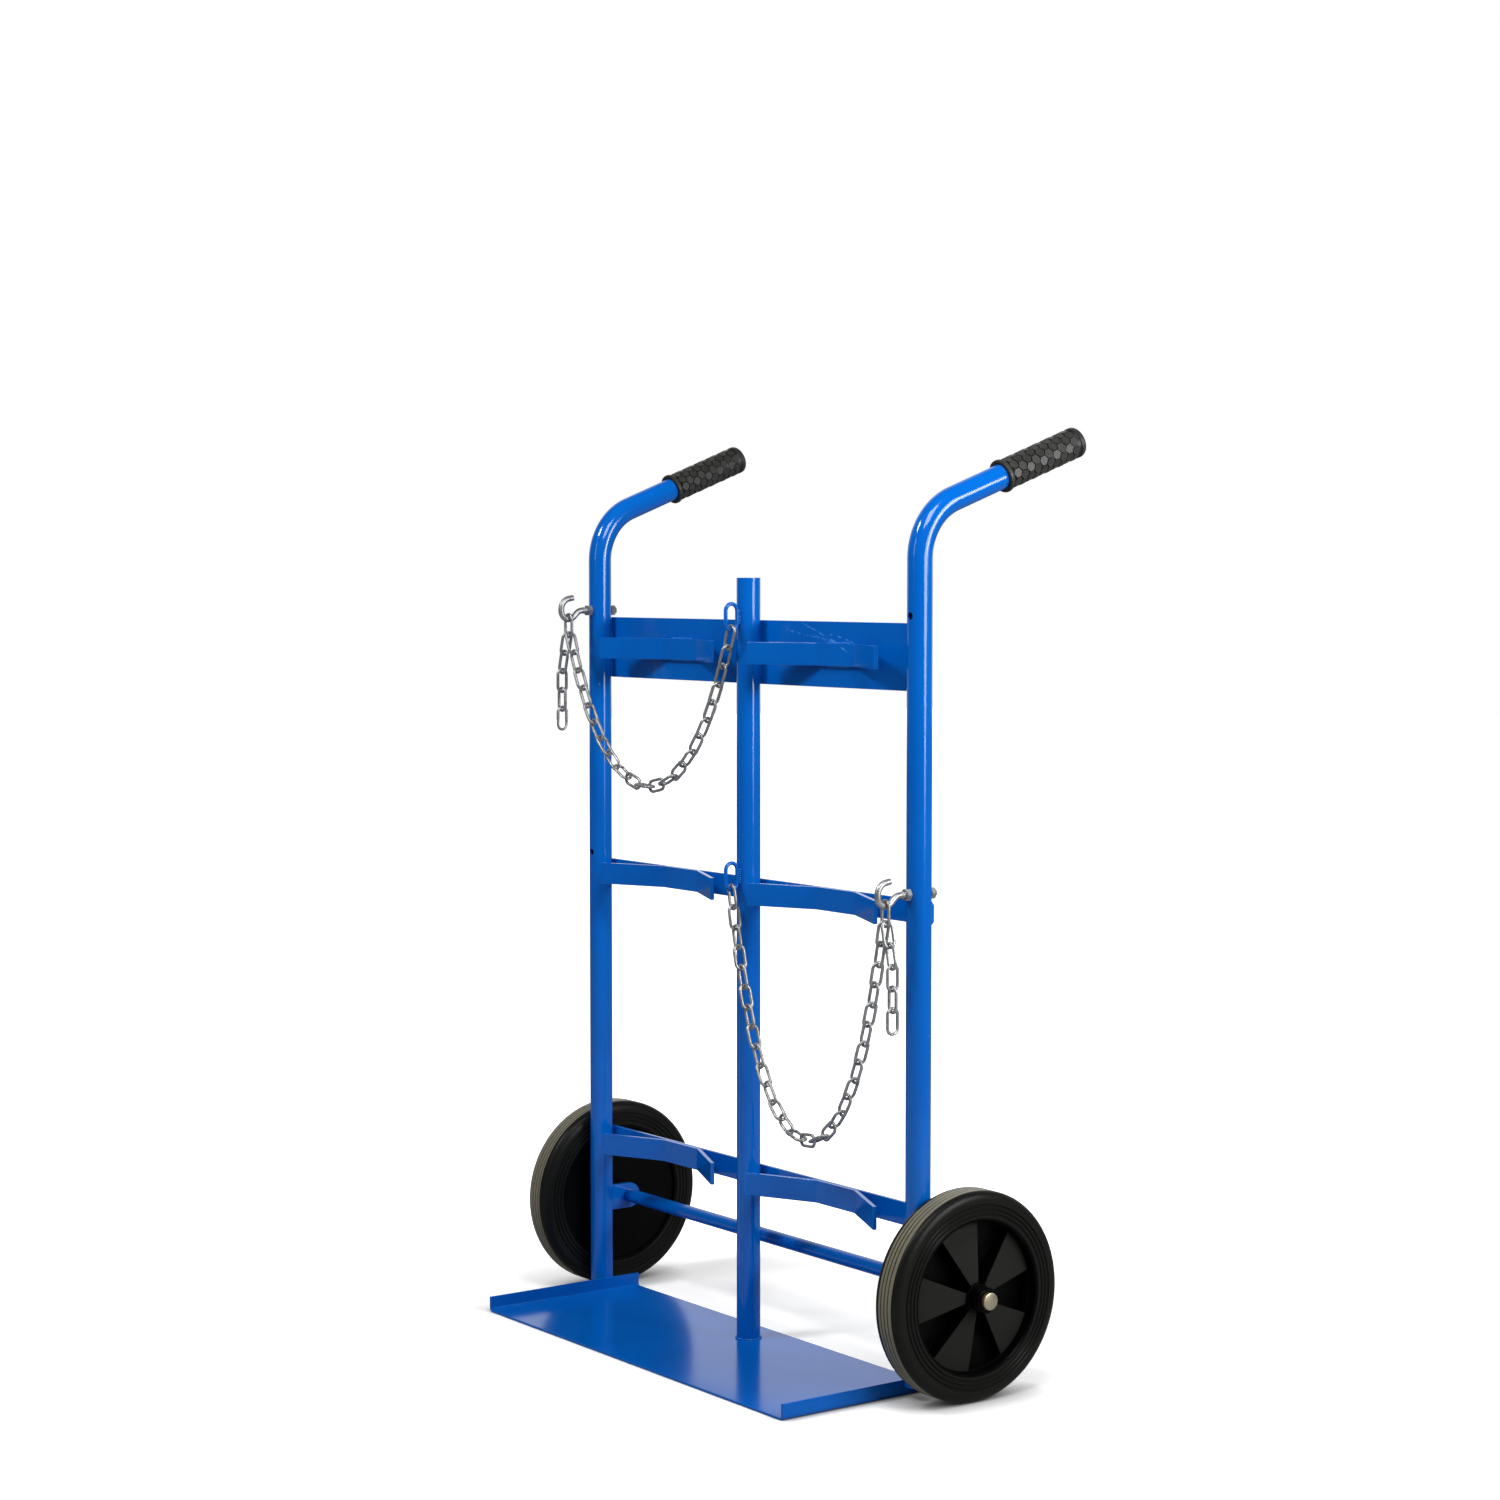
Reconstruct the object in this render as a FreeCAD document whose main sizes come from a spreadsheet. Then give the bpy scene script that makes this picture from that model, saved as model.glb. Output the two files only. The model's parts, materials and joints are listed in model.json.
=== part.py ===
"""Two-bay gas cylinder trolley on two wheels, as separate pieces at their real size.

Millimetres, +Z up. The origin is on the floor, midway between the uprights, in the plane of their
tubes. -Y is the front, where the load stands, and the handles reach back to +Y.
"""

import FreeCAD, Part
import math
import os
import Sketcher

V = FreeCAD.Vector
LEFT, RIGHT = -1, 1
SIDE_NAMES = {LEFT: "left", RIGHT: "right"}

SIZES = {
    # Tubes
    "tube_diameter": 30,
    "tube_wall": 2,
    "upright_spacing": 674,
    "upright_clearance": 15,
    "handle_height": 1039,
    "handle_length": 247,
    "handle_rise": 20.8,
    "handle_splay": 2.2,
    "handle_bend_radius": 75,
    "post_drop": 74,
    # Cross members behind the tubes
    "weld_gap": 0.2,
    "plate_height": 80,
    "plate_thickness": 5,
    "plate_drop": 167,
    "plate_setback": 4,
    "flat_height": 28,
    "flat_thickness": 5,
    "middle_level": 573,
    "lower_level": 210,
    "bar_overhang": 4,
    "bar_corner": 4,
    # Saddles that the load leans on
    "saddle_centre": 165,
    "saddle_width": 254,
    "saddle_flat": 77,
    "saddle_angle": 25,
    "saddle_bend_radius": 8,
    # Foot plate
    "tray_thickness": 3,
    "tray_front": 187,
    "tray_rear": 48,
    "tray_flange": 20,
    "tray_bend_radius": 3,
    # Axle and its fittings
    "axle_diameter": 18,
    "axle_setback": 43,
    "axle_fit": 0.1,
    "lug_thickness": 6,
    "lug_radius": 17,
    "spacer_diameter": 26,
    "cap_diameter": 21,
    "cap_length": 5,
    "cap_wall": 2,
    "end_play": 0.3,
    # Wheels
    "wheel_diameter": 250,
    "wheel_width": 43,
    "wheel_gap": 2,
    "tyre_shoulder": 7,
    "tyre_fit": 0.1,
    "rim_diameter": 186,
    "rim_wall": 3,
    "rim_inset": 1,
    "web_inner": 5,
    "web_outer": 30,
    "web_crown": 41,
    "hub_diameter": 30,
    "hub_outreach": 17,
    "pocket_floor": 16,
    "pocket_start": 86,
    "pocket_angle": 34,
    "pocket_margin": 1.5,
    "running_fit": 0.05,
    # Grips
    "grip_length": 125,
    "grip_diameter": 37.5,
    "grip_end": 5,
    "grip_edge": 4,
    "grip_collar_diameter": 40.5,
    "grip_collar_width": 6,
    "grip_fit": 0.1,
    # Hook bolts and chain eyes
    "upper_hook_drop": 118,
    "lower_hook_level": 597,
    "hook_hole": 9,
    "hook_rod": 8,
    "hook_reach": 50,
    "hook_ring": 11.5,
    "hook_drop": 12,
    "hook_side": 2,
    "hook_mouth": 14,
    "hook_tip": 7,
    "hook_tip_rise": 10,
    "hook_tail": 25,
    "nut_width": 13,
    "nut_height": 6.5,
    "nut_fit": 0.1,
    "eye_height": 38,
    "eye_depth": 22.5,
    "eye_wire": 5,
    "upper_eye_drop": 123,
    "lower_eye_level": 592,
    # Chain
    "chain_wire": 4,
    "link_length": 26,
    "link_width": 10,
    "link_play": 0.8,
    "left_chain_links": 22,
    "right_chain_links": 28,
    "loose_links": 5,
    "loose_lean": 14,
}

FAN_COUNT = 5
LINK_SIDES = 6
EYE_SIDES = 8

doc = FreeCAD.newDocument("gas_cylinder_trolley")
nodes = {}


class Size:
    """A length, angle or count: its number, and the same thing as an expression on the sheet."""

    def __init__(self, value, text):
        self.value = float(value)
        self.text = text

    def __add__(self, other):
        other = as_size(other)
        return Size(self.value + other.value, f"({self.text} + {other.text})")

    def __sub__(self, other):
        other = as_size(other)
        return Size(self.value - other.value, f"({self.text} - {other.text})")

    def __mul__(self, other):
        other = as_size(other)
        return Size(self.value * other.value, f"({self.text} * {other.text})")

    def __truediv__(self, other):
        other = as_size(other)
        return Size(self.value / other.value, f"({self.text} / {other.text})")

    def __neg__(self):
        return Size(-self.value, f"(0 - {self.text})")

    def __radd__(self, other):
        return as_size(other) + self

    def __rsub__(self, other):
        return as_size(other) - self

    def __rmul__(self, other):
        return as_size(other) * self


def as_size(number):
    """A Size as it is, or a bare number as a Size."""
    return number if isinstance(number, Size) else Size(number, repr(number))


def trig(name, degrees):
    """Sine, cosine or tangent of an angle in degrees."""
    function = {"sin": math.sin, "cos": math.cos, "tan": math.tan}[name]
    angle = as_size(degrees)
    return Size(function(math.radians(angle.value)), f"{name}({angle.text} * 1 deg)")


def make_sheet():
    """The sheet of driving dimensions, and each of them as a Size under its own name."""
    sheet = doc.addObject("Spreadsheet::Sheet", "Dims")
    for row, (name, value) in enumerate(SIZES.items(), start=1):
        sheet.set(f"A{row}", name)
        sheet.set(f"B{row}", str(value))
        sheet.setAlias(f"B{row}", name)
    doc.recompute()
    return {name: Size(sheet.get(name), f"Dims.{name}") for name in SIZES}


d = make_sheet()
tube_radius = d["tube_diameter"] / 2
upright_x = d["upright_spacing"] / 2
post_top = d["handle_height"] - d["post_drop"]
plate_level = d["handle_height"] - d["plate_drop"]
hook_levels = {"upper": d["handle_height"] - d["upper_hook_drop"], "lower": d["lower_hook_level"]}
eye_levels = {"upper": d["handle_height"] - d["upper_eye_drop"], "lower": d["lower_eye_level"]}
back_face = tube_radius + d["weld_gap"]
axle_radius = d["axle_diameter"] / 2
wheel_radius = d["wheel_diameter"] / 2
wheel_inner_x = upright_x + tube_radius + d["wheel_gap"]
hub_end = d["wheel_width"] + d["hub_outreach"]
hub_end_x = wheel_inner_x + hub_end
cap_x = hub_end_x + d["end_play"]
axle_end_x = cap_x + d["cap_length"] - d["cap_wall"] - d["weld_gap"]
lug_outer = d["lug_thickness"] / 2
lug_outer_x = upright_x + lug_outer
rim_radius = d["rim_diameter"] / 2
rim_bore = rim_radius - d["rim_wall"]
hub_radius = d["hub_diameter"] / 2
wire_radius = d["chain_wire"] / 2
bow_radius = (d["link_width"] + d["chain_wire"]) / 2


def add_node(label, obj):
    """Register an object as a finished piece of the trolley."""
    obj.Label = label
    nodes[label] = obj
    return obj


def place(obj, x=0, y=0, z=0, turns=()):
    """Bind an object's place to the sheet. Turns are (axis, degrees), outermost first."""
    base = "vector({}; {}; {})".format(*(as_size(c).text for c in (x, y, z)))
    turn = " * ".join(
        "rotation(vector({}; {}; {}); {})".format(*axis, as_size(degrees).text) for axis, degrees in turns
    )
    obj.setExpression("Placement", f"placement({base}; {turn or 'rotation(vector(0; 0; 1); 0)'})")


X_AXIS, Y_AXIS, Z_AXIS = (1, 0, 0), (0, 1, 0), (0, 0, 1)


def new_body(label):
    """An empty body."""
    body = doc.addObject("PartDesign::Body", label)
    body.Label = label
    return body


def origin_feature(body, role):
    """One of a body's own origin planes or axes."""
    return next(f for f in body.Origin.OriginFeatures if f.Role == role)


def new_sketch(body, name, role):
    """A sketch on one of a body's own origin planes."""
    sketch = body.newObject("Sketcher::SketchObject", f"{body.Name}_{name}")
    sketch.AttachmentSupport = (origin_feature(body, role), [""])
    sketch.MapMode = "FlatFace"
    return sketch


def pin(sketch, geometry, end, x, y):
    """Tie one point of a sketch to coordinates on the sheet."""
    for kind, size, axis in (("DistanceX", as_size(x), -2), ("DistanceY", as_size(y), -1)):
        if size.text == "0":
            sketch.addConstraint(Sketcher.Constraint("PointOnObject", geometry, end, axis))
        else:
            number = sketch.addConstraint(Sketcher.Constraint(kind, -1, 1, geometry, end, size.value))
            sketch.setExpression(f"Constraints[{number}]", size.text)


def circle(sketch, radius, x=0, y=0):
    """A circle about a point of a sketch."""
    centre = V(as_size(x).value, as_size(y).value, 0)
    number = sketch.addGeometry(Part.Circle(centre, V(0, 0, 1), radius.value), False)
    pin(sketch, number, 3, x, y)
    constraint = sketch.addConstraint(Sketcher.Constraint("Radius", number, radius.value))
    sketch.setExpression(f"Constraints[{constraint}]", radius.text)


def outline(sketch, corners, radii=None, closed=True):
    """Straight runs through corners, with an arc wherever the corner's number has a radius."""
    radii = radii or {}
    count = len(corners)
    points = [V(as_size(x).value, as_size(y).value, 0) for x, y in corners]
    entry, leave = list(points), list(points)
    arcs = {}
    for i, radius in radii.items():
        before = (points[i] - points[i - 1]).normalize()
        after = (points[(i + 1) % count] - points[i]).normalize()
        turn = math.atan2(before.cross(after).z, before.dot(after))
        reach = radius.value * math.tan(abs(turn) / 2)
        entry[i] = points[i] - before * reach
        leave[i] = points[i] + after * reach
        side = math.copysign(1, turn)
        centre = entry[i] + V(-before.y, before.x, 0) * (radius.value * side)
        ends = [math.atan2(p.y - centre.y, p.x - centre.x) for p in (entry[i], leave[i])]
        start, stop = ends if turn > 0 else reversed(ends)
        arc = Part.ArcOfCircle(Part.Circle(centre, V(0, 0, 1), radius.value), start, stop)
        arcs[i] = (sketch.addGeometry(arc, False), (1, 2) if turn > 0 else (2, 1))
    runs = []
    for i in range(count if closed else count - 1):
        line = Part.LineSegment(leave[i], entry[(i + 1) % count])
        runs.append(sketch.addGeometry(line, False))
    for i in range(count):
        has_before = closed or i > 0
        has_after = closed or i < count - 1
        if i in arcs:
            arc, (first, last) = arcs[i]
            sketch.addConstraint(Sketcher.Constraint("Tangent", runs[i - 1], 2, arc, first))
            sketch.addConstraint(Sketcher.Constraint("Tangent", arc, last, runs[i], 1))
            number = sketch.addConstraint(Sketcher.Constraint("Radius", arc, radii[i].value))
            sketch.setExpression(f"Constraints[{number}]", radii[i].text)
            point = sketch.addGeometry(Part.Point(points[i]), True)
            sketch.addConstraint(Sketcher.Constraint("PointOnObject", point, 1, runs[i - 1]))
            sketch.addConstraint(Sketcher.Constraint("PointOnObject", point, 1, runs[i]))
            pin(sketch, point, 1, *corners[i])
        elif has_after:
            pin(sketch, runs[i], 1, *corners[i])
            if has_before:
                sketch.addConstraint(Sketcher.Constraint("Coincident", runs[i - 1], 2, runs[i], 1))
        else:
            pin(sketch, runs[i - 1], 2, *corners[i])


def pad(body, sketch, length, symmetric=False):
    """Pad a sketch along its normal."""
    feature = body.newObject("PartDesign::Pad", f"{body.Name}_pad")
    feature.Profile = sketch
    feature.setExpression("Length", length.text)
    if symmetric:
        feature.SideType = "Symmetric"
    return feature


def arc_corners(x, y, radius, start, turn, steps):
    """Corners of equal straight steps that touch an arc from outside, angles in degrees."""
    step = as_size(turn) / steps
    reach = radius / trig("cos", step / 2)
    angles = [start + step * (k + 0.5) for k in range(steps)]
    return [(x + reach * trig("cos", a), y + reach * trig("sin", a)) for a in angles]


def pipe(body, profile, path, mitred=False):
    """Sweep a sketch along a path sketch."""
    feature = body.newObject("PartDesign::AdditivePipe", f"{body.Name}_pipe")
    feature.Profile = profile
    feature.Spine = (path, [])
    if mitred:
        feature.Transition = "Right corner"
    return feature


def revolve(body, sketch):
    """Turn a sketch on the XZ plane a whole turn about the body's Z axis."""
    feature = body.newObject("PartDesign::Revolution", f"{body.Name}_turn")
    feature.Profile = sketch
    feature.ReferenceAxis = (sketch, ["V_Axis"])
    feature.Angle = 360
    return feature


def rod(label, radius, length, x=0, y=0, z=0, turns=()):
    """A plain cylinder along its own Z axis."""
    cylinder = doc.addObject("Part::Cylinder", label)
    cylinder.setExpression("Radius", as_size(radius).text)
    cylinder.setExpression("Height", as_size(length).text)
    place(cylinder, x, y, z, turns)
    return cylinder


def cut(label, base, tool):
    """One solid less another."""
    result = doc.addObject("Part::Cut", label)
    result.Base = base
    result.Tool = tool
    return result


def compound(label, members):
    """Separate solids kept together as one piece."""
    group = doc.addObject("Part::Compound", label)
    group.Links = members
    return group


def ring(label, outer, inner, length, x, y, z, turns):
    """A plain ring."""
    body = rod(f"{label}_body", outer, length, x, y, z, turns)
    bore = rod(f"{label}_bore", inner, length, x, y, z, turns)
    return cut(label, body, bore)


def handle_turns(side):
    """How an upright's bending plane is turned out from the straight-back direction."""
    return [(Z_AXIS, d["handle_splay"] * -side)]


def make_upright(side):
    """One bent tube: upright and handle in one piece, drilled for a hook at two levels."""
    label = f"{SIDE_NAMES[side]}_upright"
    body = new_body(f"{label}_tube")
    path = new_sketch(body, "path", "YZ_Plane")
    corner = d["handle_height"] - d["upright_clearance"]
    end_y = d["handle_length"] * trig("cos", d["handle_rise"])
    end_z = corner + d["handle_length"] * trig("sin", d["handle_rise"])
    outline(path, [(0, 0), (0, corner), (end_y, end_z)], {1: d["handle_bend_radius"]}, closed=False)
    section = new_sketch(body, "section", "XY_Plane")
    circle(section, tube_radius)
    circle(section, tube_radius - d["tube_wall"])
    pipe(body, section, path)
    place(body, upright_x * side, 0, d["upright_clearance"], handle_turns(side))
    holes = [
        rod(f"{label}_{level}_hole", d["hook_hole"] / 2, d["tube_diameter"], upright_x * side,
            tube_radius, hook_levels[level], [(X_AXIS, 90)])
        for level in ("upper", "lower")
    ]
    add_node(label, cut(f"{label}_drilled", body, compound(f"{label}_holes", holes)))


def make_grip(side):
    """A rubber grip with a collar, closed over the end of the handle."""
    label = f"{SIDE_NAMES[side]}_grip"
    body = new_body(label)
    profile = new_sketch(body, "profile", "XZ_Plane")
    bore = tube_radius + d["grip_fit"]
    collar = d["grip_collar_diameter"] / 2
    outside = d["grip_diameter"] / 2
    bore_end = d["grip_length"] - d["grip_end"]
    outline(profile, [
        (bore, 0),
        (collar, 0),
        (collar, d["grip_collar_width"]),
        (outside, d["grip_collar_width"]),
        (outside, d["grip_length"] - d["grip_edge"]),
        (outside - d["grip_edge"], d["grip_length"]),
        (0, d["grip_length"]),
        (0, bore_end),
        (bore, bore_end),
    ])
    revolve(body, profile)
    start = d["handle_length"] + d["weld_gap"] - bore_end
    back = start * trig("cos", d["handle_rise"])
    place(
        body,
        upright_x * side + back * trig("sin", d["handle_splay"]) * side,
        back * trig("cos", d["handle_splay"]),
        d["handle_height"] + start * trig("sin", d["handle_rise"]),
        handle_turns(side) + [(X_AXIS, d["handle_rise"] - 90)],
    )
    add_node(label, body)


def make_post():
    """The open-topped tube between the two bays, standing on the foot plate."""
    body = new_body("centre_post")
    section = new_sketch(body, "section", "XY_Plane")
    circle(section, tube_radius)
    circle(section, tube_radius - d["tube_wall"])
    foot = d["tray_thickness"] + d["weld_gap"]
    pad(body, section, post_top - foot)
    place(body, 0, 0, foot)
    add_node("centre_post", body)


def make_cross_member(label, half_length, height, thickness, level, corner=None):
    """A flat bar or plate behind the tubes, with clipped corners where it has them."""
    body = new_body(label)
    face = new_sketch(body, "face", "XZ_Plane")
    half = height / 2
    if corner is None:
        corners = [(half_length * i, half * k) for i, k in ((-1, -1), (1, -1), (1, 1), (-1, 1))]
    else:
        inner, low = half_length - corner, half - corner
        corners = [
            (-inner, -half), (inner, -half), (half_length, -low), (half_length, low),
            (inner, half), (-inner, half), (-half_length, low), (-half_length, -low),
        ]
    outline(face, corners)
    pad(body, face, thickness)
    place(body, 0, back_face + thickness, level)
    add_node(label, body)


def make_saddle(side, level_name, level):
    """A flat bar bent forward at both ends, which keeps a round load from rolling sideways."""
    label = f"{SIDE_NAMES[side]}_{level_name}_saddle"
    body = new_body(label)
    path = new_sketch(body, "path", "XY_Plane")
    middle = d["saddle_flat"] / 2
    tip = d["saddle_width"] / 2
    drop = (tip - middle) * trig("tan", d["saddle_angle"])
    outline(path, [(0, 0), (middle, 0), (tip, -drop)], {1: d["saddle_bend_radius"]}, closed=False)
    section = new_sketch(body, "section", "YZ_Plane")
    half_t, half_h = d["flat_thickness"] / 2, d["flat_height"] / 2
    outline(section, [(half_t * i, half_h * k) for i, k in ((-1, -1), (1, -1), (1, 1), (-1, 1))])
    half = pipe(body, section, path)
    doc.recompute()
    whole = body.newObject("PartDesign::Mirrored", f"{label}_mirrored")
    whole.Originals = [half]
    whole.MirrorPlane = (origin_feature(body, "YZ_Plane"), [""])
    body.Tip = whole
    place(body, d["saddle_centre"] * side, back_face - d["weld_gap"] - half_t, level)
    add_node(label, body)


def make_foot_plate():
    """A thin plate with both ends folded up, lying on the floor between the uprights."""
    body = new_body("foot_plate")
    profile = new_sketch(body, "profile", "XZ_Plane")
    outer = upright_x - tube_radius - d["weld_gap"]
    inner = outer - d["tray_thickness"]
    top, floor = d["tray_flange"], d["tray_thickness"]
    fold = d["tray_bend_radius"] + d["tray_thickness"]
    outline(profile, [
        (-outer, top), (-outer, 0), (outer, 0), (outer, top),
        (inner, top), (inner, floor), (-inner, floor), (-inner, top),
    ], {1: fold, 2: fold, 5: d["tray_bend_radius"], 6: d["tray_bend_radius"]})
    pad(body, profile, d["tray_front"] + d["tray_rear"])
    place(body, 0, d["tray_rear"], 0)
    add_node("foot_plate", body)


def axle_turn(side):
    """Turns a piece's own Z axis along the axle, outwards."""
    return [(Y_AXIS, as_size(90) * side)]


def on_axle(side, x):
    """Where a piece starts on the axle, x out from the middle."""
    return dict(x=x * side, y=d["axle_setback"], z=wheel_radius, turns=axle_turn(side))


def make_axle():
    """The through axle, welded into the two lugs."""
    add_node("axle", rod("axle", axle_radius, axle_end_x * 2, **on_axle(RIGHT, -axle_end_x)))


def make_lug(side):
    """A plate behind an upright, bored for the axle."""
    label = f"{SIDE_NAMES[side]}_axle_lug"
    web = doc.addObject("Part::Box", f"{label}_web")
    web.setExpression("Length", d["lug_thickness"].text)
    web.setExpression("Width", (d["axle_setback"] - back_face).text)
    web.setExpression("Height", (d["lug_radius"] * 2).text)
    place(web, upright_x * side - lug_outer, back_face, wheel_radius - d["lug_radius"])
    start = upright_x - lug_outer
    nose = rod(f"{label}_nose", d["lug_radius"], d["lug_thickness"], **on_axle(side, start))
    hole = rod(f"{label}_hole", axle_radius + d["axle_fit"], d["lug_thickness"], **on_axle(side, start))
    plate = doc.addObject("Part::Fuse", f"{label}_plate")
    plate.Base = web
    plate.Tool = nose
    return cut(label, plate, hole)


def make_axle_fittings():
    """Spacers inside the wheels and caps outside them."""
    bore = axle_radius + d["axle_fit"]
    spacers, caps = [], []
    spacer_x = lug_outer_x + d["weld_gap"]
    spacer_length = wheel_inner_x - d["end_play"] - spacer_x
    for side, name in SIDE_NAMES.items():
        spacers.append(ring(f"{name}_spacer", d["spacer_diameter"] / 2, bore, spacer_length,
                            **on_axle(side, spacer_x)))
        shell = rod(f"{name}_cap_shell", d["cap_diameter"] / 2, d["cap_length"], **on_axle(side, cap_x))
        socket = rod(f"{name}_cap_socket", bore, d["cap_length"] - d["cap_wall"], **on_axle(side, cap_x))
        caps.append(cut(f"{name}_cap", shell, socket))
    add_node("axle_spacers", compound("axle_spacers", spacers))
    add_node("axle_caps", compound("axle_caps", caps))


def make_tyre(side):
    """A solid rubber tyre with sloping shoulders."""
    label = f"{SIDE_NAMES[side]}_tyre"
    body = new_body(label)
    profile = new_sketch(body, "profile", "XZ_Plane")
    bead = rim_radius + d["tyre_fit"]
    width, shoulder = d["wheel_width"], d["tyre_shoulder"]
    outline(profile, [
        (bead, 0),
        (wheel_radius - shoulder, 0),
        (wheel_radius, shoulder),
        (wheel_radius, width - shoulder),
        (wheel_radius - shoulder, width),
        (bead, width),
    ])
    revolve(body, profile)
    place(body, **on_axle(side, wheel_inner_x))
    add_node(label, body)


def sector_pocket(body, start_angle, level):
    """Five equal pockets round the web, cut from a level down to their floor."""
    sketch = new_sketch(body, "sector", "XY_Plane")
    sketch.setExpression("AttachmentOffset.Base.z", level.text)
    near = hub_radius + d["pocket_margin"]
    far = rim_bore - d["pocket_margin"]
    half = d["pocket_angle"] / 2
    edges = [start_angle - half, start_angle + half]
    arcs = []
    for radius in (near, far):
        rim_arc = Part.Circle(V(0, 0, 0), V(0, 0, 1), radius.value)
        arc = Part.ArcOfCircle(rim_arc, *(math.radians(edge.value) for edge in edges))
        number = sketch.addGeometry(arc, False)
        sketch.addConstraint(Sketcher.Constraint("Coincident", number, 3, -1, 1))
        constraint = sketch.addConstraint(Sketcher.Constraint("Radius", number, radius.value))
        sketch.setExpression(f"Constraints[{constraint}]", radius.text)
        arcs.append(number)
    for end, edge in enumerate(edges, start=1):
        angle = math.radians(edge.value)
        direction = V(math.cos(angle), math.sin(angle), 0)
        line = Part.LineSegment(direction * near.value, direction * far.value)
        number = sketch.addGeometry(line, False)
        sketch.addConstraint(Sketcher.Constraint("Coincident", number, 1, arcs[0], end))
        sketch.addConstraint(Sketcher.Constraint("Coincident", number, 2, arcs[1], end))
        sketch.addConstraint(Sketcher.Constraint("PointOnObject", -1, 1, number))
        constraint = sketch.addConstraint(Sketcher.Constraint("Angle", number, angle))
        sketch.setExpression(f"Constraints[{constraint}]", f"{edge.text} * 1 deg")
    pocket = body.newObject("PartDesign::Pocket", f"{body.Name}_pocket")
    pocket.Profile = sketch
    pocket.setExpression("Length", (level - d["pocket_floor"]).text)
    doc.recompute()
    pattern = body.newObject("PartDesign::PolarPattern", f"{body.Name}_pattern")
    pattern.Originals = [pocket]
    pattern.Axis = (origin_feature(body, "Z_Axis"), [""])
    pattern.Angle = 360
    pattern.Occurrences = FAN_COUNT
    body.Tip = pattern
    doc.recompute()


def make_rim(side):
    """A moulded rim: tyre seat, hub and a sloping web with five fans between five pockets."""
    label = f"{SIDE_NAMES[side]}_rim"
    body = new_body(label)
    profile = new_sketch(body, "profile", "XZ_Plane")
    bore = axle_radius + d["running_fit"]
    outline(profile, [
        (bore, 0),
        (hub_radius, 0),
        (hub_radius, d["web_inner"]),
        (rim_bore, d["web_inner"]),
        (rim_bore, d["rim_inset"]),
        (rim_radius, d["rim_inset"]),
        (rim_radius, d["wheel_width"]),
        (rim_bore, d["wheel_width"]),
        (rim_bore, d["web_outer"]),
        (hub_radius, d["web_crown"]),
        (hub_radius, hub_end),
        (bore, hub_end),
    ])
    revolve(body, profile)
    doc.recompute()
    sector_pocket(body, d["pocket_start"], d["web_crown"])
    place(body, **on_axle(side, wheel_inner_x))
    add_node(label, body)


def hook_level(side):
    """The left bay's chain hooks on at the upper level, the right bay's at the lower one."""
    return hook_levels["upper" if side == LEFT else "lower"]


def eye_level(side):
    """Each chain starts at the post's eye beside its own hook's level."""
    return eye_levels["upper" if side == LEFT else "lower"]


def make_hook(side):
    """A bolt through the upright, bent in front into an open ring with a turned-out tip."""
    body = new_body(f"{SIDE_NAMES[side]}_hook_bolt")
    path = new_sketch(body, "path", "YZ_Plane")
    ring_y = -d["hook_reach"] - d["hook_tail"]
    left_y = ring_y - d["hook_ring"]
    rise = d["hook_tip_rise"]
    drop_y = ring_y + d["hook_ring"] * math.sqrt(2) + d["hook_drop"] * trig("tan", 22.5)
    mouth_y = left_y + d["hook_mouth"]
    tip_y = mouth_y - d["hook_mouth"] * trig("sin", rise) + d["hook_tip"] * trig("cos", rise)
    tip_z = d["hook_side"] + d["hook_mouth"] * trig("cos", rise) + d["hook_tip"] * trig("sin", rise)
    drop = arc_corners(drop_y, -d["hook_drop"], d["hook_drop"], 90, 45, 2)
    bottom = arc_corners(ring_y, as_size(0), d["hook_ring"], -45, -135, 4)
    mouth = arc_corners(mouth_y, d["hook_side"], d["hook_mouth"], 180, rise - 90, 3)
    outline(path, [(0, 0), *drop, *bottom, *mouth, (tip_y, tip_z)], closed=False)
    section = new_sketch(body, "section", "XZ_Plane")
    circle(section, d["hook_rod"] / 2)
    pipe(body, section, path, mitred=True)
    place(body, upright_x * side, d["hook_tail"], hook_level(side))
    return body


def make_nut(side, end):
    """A hexagon nut against the front (-1) or back (1) of an upright."""
    label = f"{SIDE_NAMES[side]}_{'front' if end < 0 else 'back'}_nut"
    hexagon = doc.addObject("Part::Prism", f"{label}_hexagon")
    hexagon.Polygon = 6
    hexagon.setExpression("Circumradius", (d["nut_width"] / math.sqrt(3)).text)
    hexagon.setExpression("Height", d["nut_height"].text)
    turns = [(X_AXIS, as_size(-90) * end)]
    at = dict(x=upright_x * side, y=back_face * end, z=hook_level(side), turns=turns)
    place(hexagon, **at)
    bore = rod(f"{label}_bore", d["hook_rod"] / 2 + d["nut_fit"], d["nut_height"], **at)
    return cut(label, hexagon, bore)


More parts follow.
